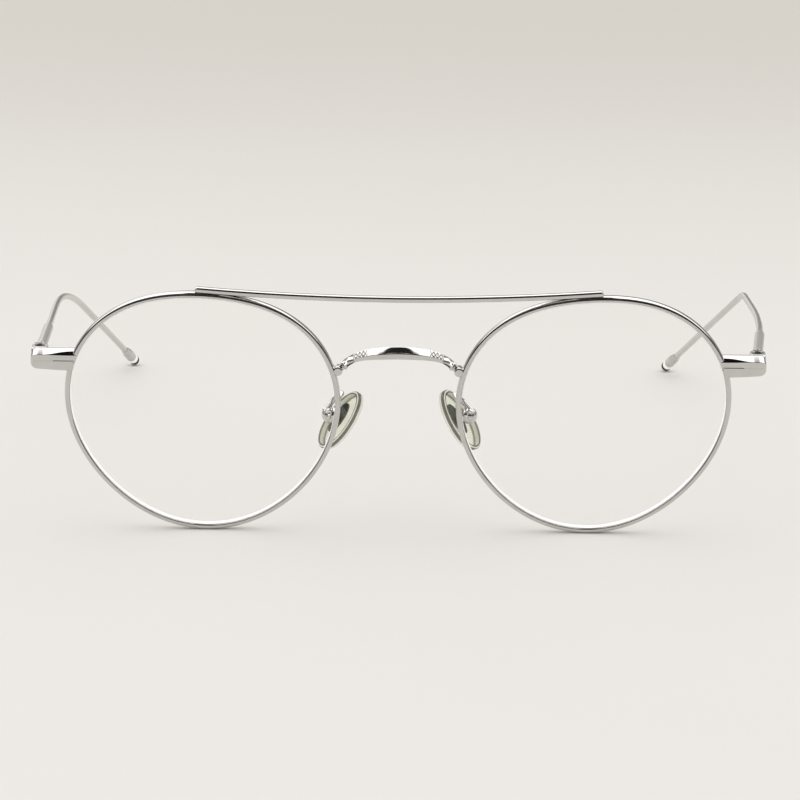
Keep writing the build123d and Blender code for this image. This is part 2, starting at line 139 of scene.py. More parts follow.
def rounded_loop(corners: Outline, radii: Sequence[float], steps: int = 6) -> Array:
    """Closed outline whose corners are tangent arcs.

    Each arc starts the tangent length r tan(turn / 2) before its corner and sweeps the turn.

    Args:
        corners: Corners in order.
        radii: One radius for each corner.
        steps: Points along each arc.

    Returns:
        Points of the loop, two numbers each.
    """
    points = np.asarray(corners, float)
    before = unit(points - np.roll(points, 1, axis=0))
    after = unit(np.roll(points, -1, axis=0) - points)
    parts = []
    for corner, way_in, way_out, radius in zip(points, before, after, radii):
        turn = math.acos(float(np.clip(way_in @ way_out, -1, 1)))
        start = corner - way_in * radius * math.tan(turn / 2)
        middle = start + unit(way_out - way_in * (way_in @ way_out)) * radius
        angles = np.linspace(0, turn, steps)[:, None]
        arm = start - middle
        parts.append(middle + arm * np.cos(angles) + way_in * radius * np.sin(angles))
    return np.concatenate(parts)


def rounded_box(wide: float, tall: float, radius: float) -> Array:
    """Rectangle of those half sizes about the origin, with rounded corners."""
    return rounded_loop([(-wide, -tall), (wide, -tall), (wide, tall), (-wide, tall)], [radius] * 4)


@dataclass(frozen=True)
class Route:
    """Straight runs joined by tangent arcs.

    Attributes:
        corners: Start, corners and end, three numbers each.
        radii: Radius of the arc at each corner between start and end.
        least_steps: Fewest points along an arc.
    """

    corners: Array
    radii: Sequence[float]
    least_steps: int = 8

    def samples(self, spacing: float) -> tuple[Array, Array]:
        """Points along the route, with the direction at each.

        Args:
            spacing: Distance between points, about.

        Returns:
            Points and unit directions.
        """
        runs = unit(np.diff(self.corners, axis=0))
        points = [self.corners[:1]]
        ways = [runs[:1]]
        for index, radius in enumerate(self.radii):
            way_in, way_out = runs[index], runs[index + 1]
            turn = math.acos(float(np.clip(way_in @ way_out, -1, 1)))
            start = self.corners[index + 1] - way_in * radius * math.tan(turn / 2)
            across = unit(way_out - way_in * (way_in @ way_out))
            count = max(int(radius * turn / spacing), self.least_steps)
            angle = np.linspace(0, turn, count)[:, None]
            arc = start + across * radius * (1 - np.cos(angle)) + way_in * radius * np.sin(angle)
            points += [self._run(points[-1][-1], start, spacing), arc]
            ways.append(np.tile(way_in, (len(points[-2]), 1)))
            ways.append(way_in * np.cos(angle) + across * np.sin(angle))
        points.append(self._run(points[-1][-1], self.corners[-1], spacing, with_end=True))
        ways.append(np.tile(runs[-1], (len(points[-1]), 1)))
        return np.concatenate(points), np.concatenate(ways)

    def tube(self, radius: float, spacing: float, around: int, upward: Array) -> Array:
        """Round wire along the route."""
        points, ways = self.samples(spacing)
        return carried(circle(around) * radius, points, ways, upward)

    @staticmethod
    def _run(start: Array, end: Array, spacing: float, with_end: bool = False) -> Array:
        """Points of a straight run after its start.

        Args:
            start: Where the run starts.
            end: Where it ends.
            spacing: Distance between points, about.
            with_end: Whether the end is one of the points.

        Returns:
            The points.
        """
        count = max(int(np.linalg.norm(end - start) / spacing), 2)
        share = np.linspace(0, 1, count + 1)[1:, None]
        points = start + (end - start) * share
        return points if with_end else points[:-1]


@dataclass(frozen=True)
class Placement:
    """Rigid or mirrored place of a piece's own frame in the row frame.

    Attributes:
        axes: Rows are the piece's x, y and z directions in the row frame.
        origin: The piece's origin in the row frame, in millimetres.
    """

    axes: Array
    origin: Array

    def place(self, points: Array) -> Array:
        """Points of the piece's frame, in the row frame."""
        return points @ self.axes + self.origin


# Surfaces and pieces

@dataclass
class Surface:
    """Grid of points, one row after another, that closes into a skin.

    Attributes:
        points: Rows by columns by three, in the row frame, in millimetres.
        rows_closed: Whether the last row joins the first. If not, each end row gets a pole.
        mark: Number at each point of the grid that the finish reads, or none.
    """

    points: Array
    rows_closed: bool = False
    mark: Optional[Array] = None

    def skin(self) -> tuple[Array, list[list[int]]]:
        """Closed mesh over the grid.

        A face joins neighbours of the grid, and the columns always close. The faces are
        turned round where the sum of their triple products, the volume, is negative.

        Returns:
            Vertices, and outward faces as lists of corners.
        """
        rows, columns = self.points.shape[:2]
        places = self.points.reshape(-1, 3)
        index = np.arange(rows * columns).reshape(rows, columns)
        first = index if self.rows_closed else index[:-1]
        second = np.roll(index, -1, axis=0) if self.rows_closed else index[1:]
        corners = [first, np.roll(first, -1, axis=1), np.roll(second, -1, axis=1), second]
        quads = np.stack(corners, axis=-1).reshape(-1, 4)
        triangles = np.empty((0, 3), int)
        if not self.rows_closed:
            places = np.vstack([places, self.points[0].mean(axis=0), self.points[-1].mean(axis=0)])
            low = np.full(columns, rows * columns)
            head, tail = index[0], index[-1]
            triangles = np.concatenate([
                np.stack([np.roll(head, -1), head, low], axis=-1),
                np.stack([tail, np.roll(tail, -1), low + 1], axis=-1)])
        halves = np.concatenate([quads[:, [0, 1, 2]], quads[:, [0, 2, 3]], triangles])
        a, b, c = (places[halves[:, corner]] for corner in range(3))
        if np.einsum("ij,ij->", a - places.mean(axis=0), np.cross(b - a, c - a)) < 0:
            quads, triangles = quads[:, ::-1], triangles[:, ::-1]
        return places, quads.tolist() + triangles.tolist()


def carried(
        profile: Array, centres: Array, ways: Array, upward: Array, scale: Optional[Array] = None) -> Array:
    """Profile carried along a path: centre + u across + v up at each point of the path.

    Args:
        profile: Points of the profile, two numbers each: across and up.
        centres: Points of the path.
        ways: Direction of the path at each point.
        upward: Direction that stays upright in the profile.
        scale: Size of the profile at each point, or none for 1.

    Returns:
        Grid of points, one row for each point of the path.
    """
    across = unit(np.cross(ways, upward))
    rise = np.cross(across, ways)
    size = np.ones(len(centres)) if scale is None else scale
    spread = profile[None, :, :] * size[:, None, None]
    return centres[:, None] + spread[..., :1] * across[:, None] + spread[..., 1:] * rise[:, None]


def circle(count: int) -> Array:
    """Points of a circle of radius one."""
    angle = whole_turn(count)
    return points_of(np.cos(angle), np.sin(angle))


def turned(start: Array, axis: Array, outline: Outline, around: int = 48) -> Array:
    """Body of revolution: at each outline point, a circle of that radius at that distance.

    Args:
        start: Point that distances are counted from.
        axis: Direction of the axis.
        outline: Distance along the axis and radius, in order.
        around: Points round each circle.

    Returns:
        Grid of points.
    """
    steps = np.asarray(outline, float)
    way = unit(axis)
    upward = UP if abs(way @ UP) < STEEP_AXIS else OUT
    centres, ways = start + steps[:, :1] * way, np.tile(way, (len(steps), 1))
    return carried(circle(around), centres, ways, upward, steps[:, 1])


def soft_edge(at: float, radius: float, round_by: float, closing: bool) -> list[tuple[float, float]]:
    """Quarter round at the start or the end of a turned body.

    Args:
        at: Where the body's end face is.
        radius: Radius of the body.
        round_by: Radius of the rounding.
        closing: Whether the body ends there instead of starting.

    Returns:
        Distance and radius along the rounding.
    """
    turn = quarter_turn(6)
    radii = radius - round_by * (1 - np.cos(turn))
    inward = round_by * (1 - np.sin(turn))
    return list(zip(at - inward, radii)) if closing else list(zip(at + inward, radii))[::-1]


def rod(start: float, end: float, radius: float, round_by: float) -> list[tuple[float, float]]:
    """Distance and radius along a turned rod with both ends rounded."""
    return soft_edge(start, radius, round_by, False) + soft_edge(end, radius, round_by, True)


# Shader graphs

Number = Union[float, int]
Term = Union["Value", Number]


class Value:
    """A shader socket that takes part in sums, products and differences."""

    def __init__(self, graph: "Graph", socket: bpy.types.NodeSocket) -> None:
        """Wraps a socket of that graph."""
        self.graph = graph
        self.socket = socket

    def _math(self, operation: str, *terms: Term) -> "Value":
        """Math node on the terms."""
        return self.graph.node("ShaderNodeMath", {"operation": operation}, dict(enumerate(terms)))

    def __add__(self, other: Term) -> "Value":
        """This plus other."""
        return self._math("ADD", self, other)

    def __mul__(self, other: Term) -> "Value":
        """This times other."""
        return self._math("MULTIPLY", self, other)

    def __rsub__(self, other: Number) -> "Value":
        """Other less this."""
        return self._math("SUBTRACT", other, self)

    __radd__ = __add__
    __rmul__ = __mul__

    def ramp(self, low: Number, high: Number) -> "Value":
        """Smooth rise from 0 at low to 1 at high."""
        inputs = {"Value": self, "From Min": low, "From Max": high}
        return self.graph.node("ShaderNodeMapRange", {"interpolation_type": "SMOOTHERSTEP"}, inputs)


class Graph:
    """Nodes of one material or world."""

    def __init__(self, owner: Union[bpy.types.Material, bpy.types.World]) -> None:
        """Starts an empty graph.

        Args:
            owner: Material or world that the graph is for.
        """
        owner.use_nodes = True
        self.tree = owner.node_tree
        self.tree.nodes.clear()

    def node(
            self, kind: str, settings: Mapping[str, Any], inputs: Mapping[Any, Any],
            output: Union[int, str] = 0) -> Value:
        """Adds a node.

        Args:
            kind: Node type.
            settings: Attributes, set first. "stops" gives a colour ramp's places and colours.
            inputs: Values or links by socket name or number.
            output: Name or number of the output that is wanted.

        Returns:
            That output.
        """
        made = self.tree.nodes.new(kind)
        for name, setting in settings.items():
            if name == "stops":
                self._set_stops(made.color_ramp, setting)
            else:
                setattr(made, name, setting)
        for name, given in inputs.items():
            if isinstance(given, Value):
                self.tree.links.new(given.socket, made.inputs[name])
            else:
                made.inputs[name].default_value = given
        return Value(self, made.outputs[output]) if len(made.outputs) else Value(self, made.inputs[0])

    @staticmethod
    def _set_stops(ramp: bpy.types.ColorRamp, stops: Sequence[tuple[float, Sequence[float]]]) -> None:
        """Gives a colour ramp its places and colours.

        Args:
            ramp: The colour ramp.
            stops: Place and colour of each stop, in order.
        """
        while len(ramp.elements) < len(stops):
            ramp.elements.new(0.5)
        for element, (place, colour) in zip(ramp.elements, stops):
            element.position = place
            element.color = (*colour, 1.0)

    def place(self, stretch: Triple = (1.0, 1.0, 1.0)) -> Value:
        """Object coordinates, stretched."""
        coordinates = self.node("ShaderNodeTexCoord", {}, {}, "Object")
        return self.node("ShaderNodeMapping", {}, {"Vector": coordinates, "Scale": stretch})

    def component(self, vector: Value, index: int) -> Value:
        """One number of a vector."""
        return self.node("ShaderNodeSeparateXYZ", {}, {"Vector": vector}, index)

    def noise(self, scale: float, detail: float, stretch: Triple = (1.0, 1.0, 1.0)) -> Value:
        """Noise from 0 to 1 on Object coordinates. Scale counts spots per metre."""
        inputs = {"Vector": self.place(stretch), "Scale": scale, "Detail": detail}
        return self.node("ShaderNodeTexNoise", {}, inputs)

    def mark(self) -> Value:
        """The number that the mesh holds at each point."""
        return self.node("ShaderNodeAttribute", {"attribute_name": "mark"}, {}, "Fac")

    def light_path(self, ray: str) -> Value:
        """1 for light of that kind, 0 for any other."""
        return self.node("ShaderNodeLightPath", {}, {}, ray)

    def bump(self, height: Value, depth: float) -> Value:
        """Normal that follows a height of 0 to 1, over that depth in millimetres."""
        inputs = {"Height": height, "Distance": depth * METRES, "Strength": 1.0}
        return self.node("ShaderNodeBump", {}, inputs)

    def principled(self, inputs: Mapping[str, Any]) -> Value:
        """Principled shader."""
        return self.node("ShaderNodeBsdfPrincipled", {}, inputs)

    def clear(self, tint: Colour) -> Value:
        """Transparent shader of that tint."""
        return self.node("ShaderNodeBsdfTransparent", {}, {"Color": _opaque(tint)})

    def blend(self, share: Term, first: Any, second: Any) -> Value:
        """Mix of two colours."""
        inputs = {0: share, 6: _opaque(first), 7: _opaque(second)}
        return self.node("ShaderNodeMix", {"data_type": "RGBA"}, inputs, 2)

    def mix(self, share: Term, first: Value, second: Value) -> Value:
        """Mix of two shaders."""
        return self.node("ShaderNodeMixShader", {}, {0: share, 1: first, 2: second})

    def finish(self, surface: Value, output: str = "ShaderNodeOutputMaterial") -> None:
        """Ends the graph in that surface."""
        self.node(output, {}, {"Surface": surface})


def _opaque(colour: Any) -> Any:
    """Colour with an alpha of one, or the link as it is."""
    return colour if isinstance(colour, Value) else (*colour, 1.0)


def dimmed(colour: Colour, share: float) -> Colour:
    """Colour times a share."""
    return tuple(share * part for part in colour)


@dataclass(frozen=True)
class Finish:
    """Surface finish of a piece.

    Attributes:
        name: Name of the material.
        slot: The record's material slot. Not used.
    """

    name: str
    slot: str

    def material(self) -> bpy.types.Material:
        """The material, made on first use.

        Returns:
            The material.
        """
        made = bpy.data.materials.get(self.name)
        if made is None:
            made = bpy.data.materials.new(self.name)
            self.paint(Graph(made))
        return made

    def paint(self, graph: Graph) -> None:
        """Fills the material's graph."""
        raise NotImplementedError


@dataclass(frozen=True)
class Metal(Finish):
    """Silver-coloured metal: even colour, faint clouds in the polish and fine hairlines.

    Attributes:
        colour: Reflectance.
        roughness: Roughness of the clean metal.
        cloud: How much the roughness varies.
        hairline: Depth of the hairlines, in millimetres.
        stretch: Direction of the hairlines as a stretch of the noise.
        engraved: Whether the piece's mark is an engraving's depth, which darkens the metal.
        cloud_scale, hairline_scale: Clouds and hairlines to a metre.
        cloud_rise: Noise at which a cloud starts, and at which it is full.
        clouded: Share of the colour that is left in a cloud.
        engraving_colour: Colour at the bottom of the engraving.
        engraving_cover: How much of that colour shows there.
        engraving_roughness: What the engraving adds to the roughness.
    """

    colour: Colour = (0.63, 0.618, 0.602)
    roughness: float = 0.09
    cloud: float = 0.05
    hairline: float = 0.0006
    stretch: Triple = (1.0, 1.0, 1.0)
    engraved: bool = False
    cloud_scale: float = 420.0
    hairline_scale: float = 9000.0
    cloud_rise: tuple[float, float] = (0.3, 0.75)
    clouded: float = 0.95
    engraving_colour: Colour = (0.03, 0.03, 0.03)
    engraving_cover: float = 0.92
    engraving_roughness: float = 0.3

    def paint(self, graph: Graph) -> None:
        """Principled metal with clouded roughness and a hairline bump.

        Args:
            graph: The material's graph.
        """
        clouds = graph.noise(self.cloud_scale, detail=4.0)
        lines = graph.noise(self.hairline_scale, detail=2.0, stretch=self.stretch)
        tint = graph.blend(clouds.ramp(*self.cloud_rise), self.colour, dimmed(self.colour, self.clouded))
        half = self.cloud / 2
        roughness = clouds * self.cloud + lines * half + (self.roughness - half)
        if self.engraved:
            depth = graph.mark()
            tint = graph.blend(depth * self.engraving_cover, tint, self.engraving_colour)
            roughness = roughness + depth * self.engraving_roughness
        graph.finish(graph.principled({
            "Base Color": tint, "Metallic": 1.0, "Roughness": roughness,
            "Normal": graph.bump(lines, self.hairline)}))


@dataclass(frozen=True)
class ClearLens(Finish):
    """Clear lens: it lets nearly all light through and mirrors a little at its face.

    Attributes:
        tint: Colour of what shows through.
        index: Refractive index that sets the mirror share.
        coating: Share of that mirror which the coating leaves.
        roughness: Roughness of the clean lens.
        dust_scale: Specks of dust to a metre.
        dust_rise: Noise at which a speck starts, and at which it is full.
        dust_roughness: What the dust adds to the roughness.
        dust_cover: Mirror share of the dust.
    """

    tint: Colour = (0.998, 0.998, 0.996)
    index: float = 1.38
    coating: float = 0.6
    roughness: float = 0.02
    dust_scale: float = 2600.0
    dust_rise: tuple[float, float] = (0.62, 0.8)
    dust_roughness: float = 0.25
    dust_cover: float = 0.004

    def paint(self, graph: Graph) -> None:
        """Transparent and mirror shaders mixed by the Fresnel share, with faint dust.

        Light on its way to a matt surface passes, so that the lens throws no shadow.

        Args:
            graph: The material's graph.
        """
        dust = graph.noise(self.dust_scale, detail=5.0).ramp(*self.dust_rise)
        mirror = graph.principled({
            "Base Color": _opaque((1.0, 1.0, 1.0)), "Metallic": 1.0,
            "Roughness": dust * self.dust_roughness + self.roughness})
        seen = (1.0 - graph.light_path("Is Shadow Ray")) * (1.0 - graph.light_path("Is Diffuse Ray"))
        fresnel = graph.node("ShaderNodeFresnel", {}, {"IOR": self.index})
        share = (fresnel * self.coating + dust * self.dust_cover) * seen
        graph.finish(graph.mix(share, graph.clear(self.tint), mirror))


@dataclass(frozen=True)
class SoftPad(Finish):
    """Clear moulded plastic with painted edge lines: a dark reflection, a white highlight and a dark
    reflection.

    Attributes:
        colour: Colour of the body.
        edge_dark: Colour of the dark lines, painted reflections along the rounded edge.
        edge_light: Colour of the line between them, a painted highlight.
        edge_stops: Where the first painted dark line ends, the painted highlight starts and ends,
            and the second painted dark line starts and ends, as shares of the edge's band.
        tint: Colour of what shows through.
        see_through: Share of light that passes the flat faces.
        edge_cover: Share that the edge covers beyond the flat faces.
        edge_fall: Where in the band that share starts to fall, and where it is gone.
        roughness: Roughness of the clean surface.
        index: Refractive index.
        skin, skin_scale: Depth of the moulded skin in millimetres, and its bumps to a metre.
        haze_scale: Patches of haze to a metre.
        haze_rise: Noise at which a patch starts, and at which it is full.
        haze_dark, haze_roughness, haze_cover: What the haze adds to darkness, roughness and cover.
    """

    colour: Colour = (0.86, 0.87, 0.74)
    edge_dark: Colour = (0.06, 0.062, 0.04)
    edge_light: Colour = (0.92, 0.92, 0.87)
    edge_stops: tuple[float, ...] = (0.2, 0.3, 0.62, 0.7, 0.84)
    tint: Colour = (0.975, 0.98, 0.92)
    see_through: float = 0.88
    edge_cover: float = 0.7
    edge_fall: tuple[float, float] = (0.75, 1.0)
    roughness: float = 0.08
    index: float = 1.45
    skin: float = 0.002
    skin_scale: float = 3000.0
    haze_scale: float = 520.0
    haze_rise: tuple[float, float] = (0.35, 0.7)
    haze_dark: float = 0.1
    haze_roughness: float = 0.05
    haze_cover: float = 0.03

    def paint(self, graph: Graph) -> None:
        """Principled plastic mixed with a tinted transparent shader by the distance from the edge.

        Args:
            graph: The material's graph.
        """
        haze = graph.noise(self.haze_scale, detail=3.0).ramp(*self.haze_rise)
        inside = graph.mark()
        dark, light = self.edge_dark, self.edge_light
        # Painted light: the edge's dark lines are painted reflections and its white line is a painted
        # highlight.
        colours = (dark, dark, light, light, dark, dark, self.colour)
        stops = tuple(zip((0.0, *self.edge_stops, 1.0), colours))
        lines = graph.node("ShaderNodeValToRGB", {"stops": stops}, {"Fac": inside})
        body = graph.principled({
            "Base Color": graph.blend(haze * self.haze_dark, lines, dark),
            "Roughness": haze * self.haze_roughness + self.roughness, "IOR": self.index,
            "Normal": graph.bump(graph.noise(self.skin_scale, detail=2.0), self.skin)})
        edge = (1.0 - inside.ramp(*self.edge_fall)) * self.edge_cover
        share = edge + haze * self.haze_cover + (1.0 - self.see_through)
        graph.finish(graph.mix(share, graph.clear(self.tint), body))


@dataclass(frozen=True)
class Enamel(Finish):
    """Glossy opaque plastic with a moulded skin.

    Attributes:
        colour: Colour of the plastic.
        roughness: Roughness of the clean surface.
        lustre: Strength of its gloss.
        glow: Emission in the plastic's own colour, a painted glow that makes it lighter than its light
            does.
        clouded: Share of the colour that is left in a cloud.
        peel, peel_scale: Depth of the moulded skin in millimetres, and its bumps to a metre.
        peel_rise: Noise at which a cloud starts, and at which it is full.
        peel_roughness: What the skin adds to the roughness.
    """

    colour: Colour
    roughness: float
    lustre: float
    glow: float = 0.0
    clouded: float = 0.9
    peel: float = 0.006
    peel_scale: float = 1400.0
    peel_rise: tuple[float, float] = (0.35, 0.7)
    peel_roughness: float = 0.08

    def paint(self, graph: Graph) -> None:
        """Principled plastic with a slight orange-peel bump.

        Args:
            graph: The material's graph.
        """
        peel = graph.noise(self.peel_scale, detail=3.0)
        tint = graph.blend(peel.ramp(*self.peel_rise), self.colour, dimmed(self.colour, self.clouded))
        # The emission is a painted glow in the plastic's own colour.
        graph.finish(graph.principled({
            "Base Color": tint, "Roughness": peel * self.peel_roughness + self.roughness,
            "Specular IOR Level": self.lustre, "Emission Color": _opaque(self.colour),
            "Emission Strength": self.glow, "Normal": graph.bump(peel, self.peel)}))


@dataclass(frozen=True)
class Finishes:
    """All finishes of the glasses."""

    polished: Metal = Metal("mirror_polish", "polished_metal", roughness=0.08)
    engraved: Metal = Metal("engraved_metal", "polished_metal", roughness=0.05, engraved=True)
    brushed: Metal = Metal(
        "brushed_metal", "satin_metal", (0.6, 0.585, 0.565), roughness=0.3, cloud=0.08, hairline=0.002,
        stretch=(1.0, 0.04, 1.0))
    wire: Metal = Metal(
        "drawn_wire", "polished_metal", (0.62, 0.605, 0.585), roughness=0.2, cloud=0.06, hairline=0.001,
        stretch=(1.0, 0.05, 1.0))
    # The plate inside the pad is nearly black: a painted dark reflection of the metal seen through the pad.
    plate: Metal = Metal(
        "dark_plate", "screw_metal", (0.1, 0.1, 0.092), roughness=0.16, cloud=0.06, hairline=0.0015)
    screw: Metal = Metal(
        "turned_screw", "screw_metal", (0.62, 0.61, 0.6), roughness=0.18, cloud=0.06, hairline=0.0015)
    lens: ClearLens = ClearLens("clear_lens", "lens")
    # The ground lens edge and the ivory ring carry a painted glow.
    ground: Enamel = Enamel(
        "ground_lens_edge", "lens", (0.95, 0.95, 0.94), roughness=0.5, lustre=0.3, glow=0.3)
    pad: SoftPad = SoftPad("soft_pad", "nose_pad")
    ivory: Enamel = Enamel(
        "ivory_ring", "tip_ring", (0.95, 0.935, 0.9), roughness=0.3, lustre=0.4, glow=0.25)
    charcoal: Enamel = Enamel(
        "charcoal_cap", "tip_cap", (0.012, 0.012, 0.015), roughness=0.45, lustre=0.2)


FINISHES = Finishes()


def link(name: str, mesh: bpy.types.Mesh) -> bpy.types.Object:
    """Object of a mesh, in the scene.

    Args:
        name: Name of the object.
        mesh: Its mesh.

    Returns:
        The object.
    """
    made = bpy.data.objects.new(name, mesh)
    bpy.context.scene.collection.objects.link(made)
    return made


def add_piece(
        name: str, surfaces: Sequence[Surface], finish: Finish, body: str, nodes: Sequence[str]) -> None:
    """Makes one piece out of closed surfaces, in place of CAD nodes.

    A surface's mark goes to its grid's points, and its greatest value to the poles.

    Args:
        name: Name of the piece.
        surfaces: Its skins, in the row frame.
        finish: Its finish.
        body: The CAD body that it moves with.
        nodes: The CAD nodes that it stands for.
    """
    places: list[Array] = []
    faces: list[list[int]] = []
    marks: list[Array] = []
    offset = 0
    for surface in surfaces:
        points, corners = surface.skin()
        faces += [[corner + offset for corner in face] for face in corners]
        places.append(points)
        mark = np.zeros(len(points))
        if surface.mark is not None:
            mark[:] = surface.mark.max()
            mark[:surface.mark.size] = surface.mark.ravel()
        marks.append(mark)
        offset += len(points)
    mesh = bpy.data.meshes.new(name)
    mesh.from_pydata((np.concatenate(places) * METRES).tolist(), [], faces)
    mesh.shade_smooth()
    if any(surface.mark is not None for surface in surfaces):
        mesh.attributes.new("mark", "FLOAT", "POINT").data.foreach_set("value", np.concatenate(marks))
    piece = link(name, mesh)
    mesh.materials.append(finish.material())
    weighted = piece.modifiers.new("even_normals", "WEIGHTED_NORMAL")
    weighted.keep_sharp = True
    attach(piece, body)
    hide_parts(*nodes)
    log.info("%s: %d faces on %s", name, len(faces), body)


def dress_node(node: str, finish: Finish, weld_distance: float = 0.001, crisp_deg: float = 28.0) -> None:
    """Gives a CAD node its finish, with smooth curves and crisp edges.

    Args:
        node: Name of the CAD node.
        finish: Its finish.
        weld_distance: Distance over which corners join, in millimetres.
        crisp_deg: Angle from which an edge stays crisp.
    """
    piece = frame["nodes"][node]
    piece.data.materials.clear()
    piece.data.materials.append(finish.material())
    piece.data.shade_smooth()
    weld = piece.modifiers.new("weld", "WELD")
    weld.merge_threshold = weld_distance * METRES
    split = piece.modifiers.new("crisp_edges", "EDGE_SPLIT")
    split.split_angle = math.radians(crisp_deg)
    log.info("%s keeps its solid, in %s", node, finish.name)


# Front of the glasses

@dataclass(frozen=True)
class RimOutline:
    """Outline of the right rim, in the upright front's frame, with the lens centre at (out, 0).

    The outer radius at angle t is r (1 + a cos 2t + b sin 2t + c sin 3t): a circle made oval,
    skewed and egg shaped. Rim and lens lie on a sphere of radius R whose middle is behind them.
    """

    out: float = 36.0
    radius: float = 24.08
    oval: float = 0.0535
    skew: float = 0.0202
    egg: float = 0.030
    curve: float = 125.0

    @property
    def curve_back(self) -> float:
        """How far back the sphere's middle lies."""
        return math.sqrt(self.curve ** 2 - self.radius ** 2)

    def points(self, angle: Array, inset: Union[Array, float]) -> Array:
        """Outline moved inwards along its normal.

        Args:
            angle: Angle about the lens centre.
            inset: Distance inwards.

        Returns:
            Sideways and upward place of each point.
        """
        cos, sin, twice, thrice = np.cos(angle), np.sin(angle), 2 * angle, 3 * angle
        radius = self.radius * (
            1 + self.oval * np.cos(twice) + self.skew * np.sin(twice) + self.egg * np.sin(thrice))
        slope = self.radius * (
            2 * self.skew * np.cos(twice) - 2 * self.oval * np.sin(twice) + 3 * self.egg * np.cos(thrice))
        along = np.hypot(radius, slope)
        return points_of(
            self.out + radius * cos - inset * (radius * cos + slope * sin) / along,
            radius * sin - inset * (radius * sin - slope * cos) / along)

    def on_sphere(self, flat: Array, lift: Union[Array, float]) -> Array:
        """Points of the flat outline put on the sphere: back by m - sqrt((R + l) squared - d squared).

        m is how far back the sphere's middle lies, and d is the distance from the lens centre.

        Args:
            flat: Sideways and upward place of each point.
            lift: How far each is raised towards the front.

        Returns:
            Points of the front's frame.
        """
        sideways = flat[..., 0] - self.out
        reach = (self.curve + lift) ** 2 - sideways ** 2 - flat[..., 1] ** 2
        return points_of(flat[..., 0], self.curve_back - np.sqrt(reach), flat[..., 1])

    def depth_at(self, out: float, rise: float) -> float:
        """How far back the sphere is at that place of the front."""
        return float(self.on_sphere(np.array([out, rise]), np.array(0.0))[1])

    def angle_at(self, rise: float, middle: float) -> float:
        """Angle within a quarter turn of middle at which the outline passes that height."""
        angle = middle + np.linspace(-math.pi / 2, math.pi / 2, 4001)
        return float(angle[np.argmin(np.abs(self.points(angle, 0.0)[:, 1] - rise))])

    def edge_at(self, rise: float, middle: float) -> Array:
        """Place of the outline at that height, within a quarter turn of the middle angle."""
        return self.points(np.array(self.angle_at(rise, middle)), 0.0)


@dataclass(frozen=True)
class FrontFrame:
    """Upright frame of the front: x out, y back, z up, leaned and set down in the row frame."""

    lean_deg: float
    origin: Array

    def on(self, side: Side) -> Placement:
        """Placement of a piece that is drawn for the right side.

        Args:
            side: Side that it is placed on.

        Returns:
            The placement, mirrored for the left side.
        """
        cos, sin = math.cos(math.radians(self.lean_deg)), math.sin(math.radians(self.lean_deg))
        axes = np.stack([OUT * side.value, BACK * cos + UP * sin, UP * cos - BACK * sin])
        return Placement(axes, self.origin)


@dataclass
class Rim:
    """Grooved metal ring, open for a hair's width behind the end piece."""

    outline: RimOutline
    face: float = 1.0
    depth: float = 2.2
    crown: float = 0.17
    front_round: float = 0.36
    inner_round: float = 0.26
    back_round: float = 0.3
    inner_back_round: float = 0.2
    inner_slant: float = 0.06
    groove_round: float = 0.05
    groove_depth: float = 0.45
    groove_width: float = 1.0
    slit_rise: float = 8.7
    slit_width: float = 0.12
    rows: int = 420

    def profile(self) -> Array:
        """Section in inset and lift: crowned outside, rounded front, groove inside.

        The crowned side stands back by crown times the square of its share of the half depth.

        Returns:
            Inset and lift of each point.
        """
        half, groove = self.depth / 2, self.groove_width / 2
        floor = self.face - self.groove_depth
        share = CROWN_SHARES
        crowned = list(zip(self.crown * share ** 2, half * share))
        corners = [
            (self.crown, -half), *crowned, (self.crown, half), (self.face - self.inner_slant, half),
            (self.face, groove), (floor, groove), (floor, -groove), (self.face, -groove),
            (self.face, -half)]
        radii = [
            self.back_round, *[SOFTENED] * len(crowned), self.front_round, self.inner_round,
            *[self.groove_round] * 4, self.inner_back_round]
        return rounded_loop(corners, radii, 7)

    def grid(self) -> Array:
        """Ring as a function of the angle and the place on the profile.

        Returns:
            Grid of points, from one side of the slit round to the other.
        """
        profile = self.profile()
        slit = self.outline.angle_at(self.slit_rise, 0.0)
        gap = self.slit_width / 2 / self.outline.radius
        angle = np.linspace(slit + gap, slit + 2 * math.pi - gap, self.rows)[:, None]
        return self.outline.on_sphere(self.outline.points(angle, profile[:, 0]), profile[:, 1])

    def build(self, place: FrontFrame) -> None:
        """Makes both rims.

        Args:
            place: Frame of the front.
        """
        for side in BOTH_SIDES:
            skin = Surface(place.on(side).place(self.grid()))
            name = f"rim_{side.label}"
            add_piece(f"polished_{name}", [skin], FINISHES.polished, "front", [name])


def joint_of(body: str) -> Mapping[str, Any]:
    """The record's joint that carries that body."""
    return next(joint for joint in frame["joints"] if joint["child"] == body)


def forward_lean() -> float:
    """Lean of the front: the temples' slope to the front, less the tilt of the hinge's axis."""
    axis = joint_of("temple_right")["axis"]
    return TEMPLE_SLOPE_DEG - math.degrees(math.atan2(abs(axis[1]), abs(axis[2])))


def find_front(rim: Rim) -> FrontFrame:
    """Front's frame, set down where the CAD's right rim is.

    Args:
        rim: The rim's sizes.

    Returns:
        The frame whose rim has the middle of the CAD rim's box.
    """
    lean_deg = forward_lean()
    loose = FrontFrame(lean_deg, np.zeros(3)).on(Side.RIGHT).place(rim.grid()).reshape(-1, 3)
    low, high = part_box("rim_right")
    middle = (np.array(low) + np.array(high)) / 2 / METRES
    return FrontFrame(lean_deg, middle - (loose.min(axis=0) + loose.max(axis=0)) / 2)


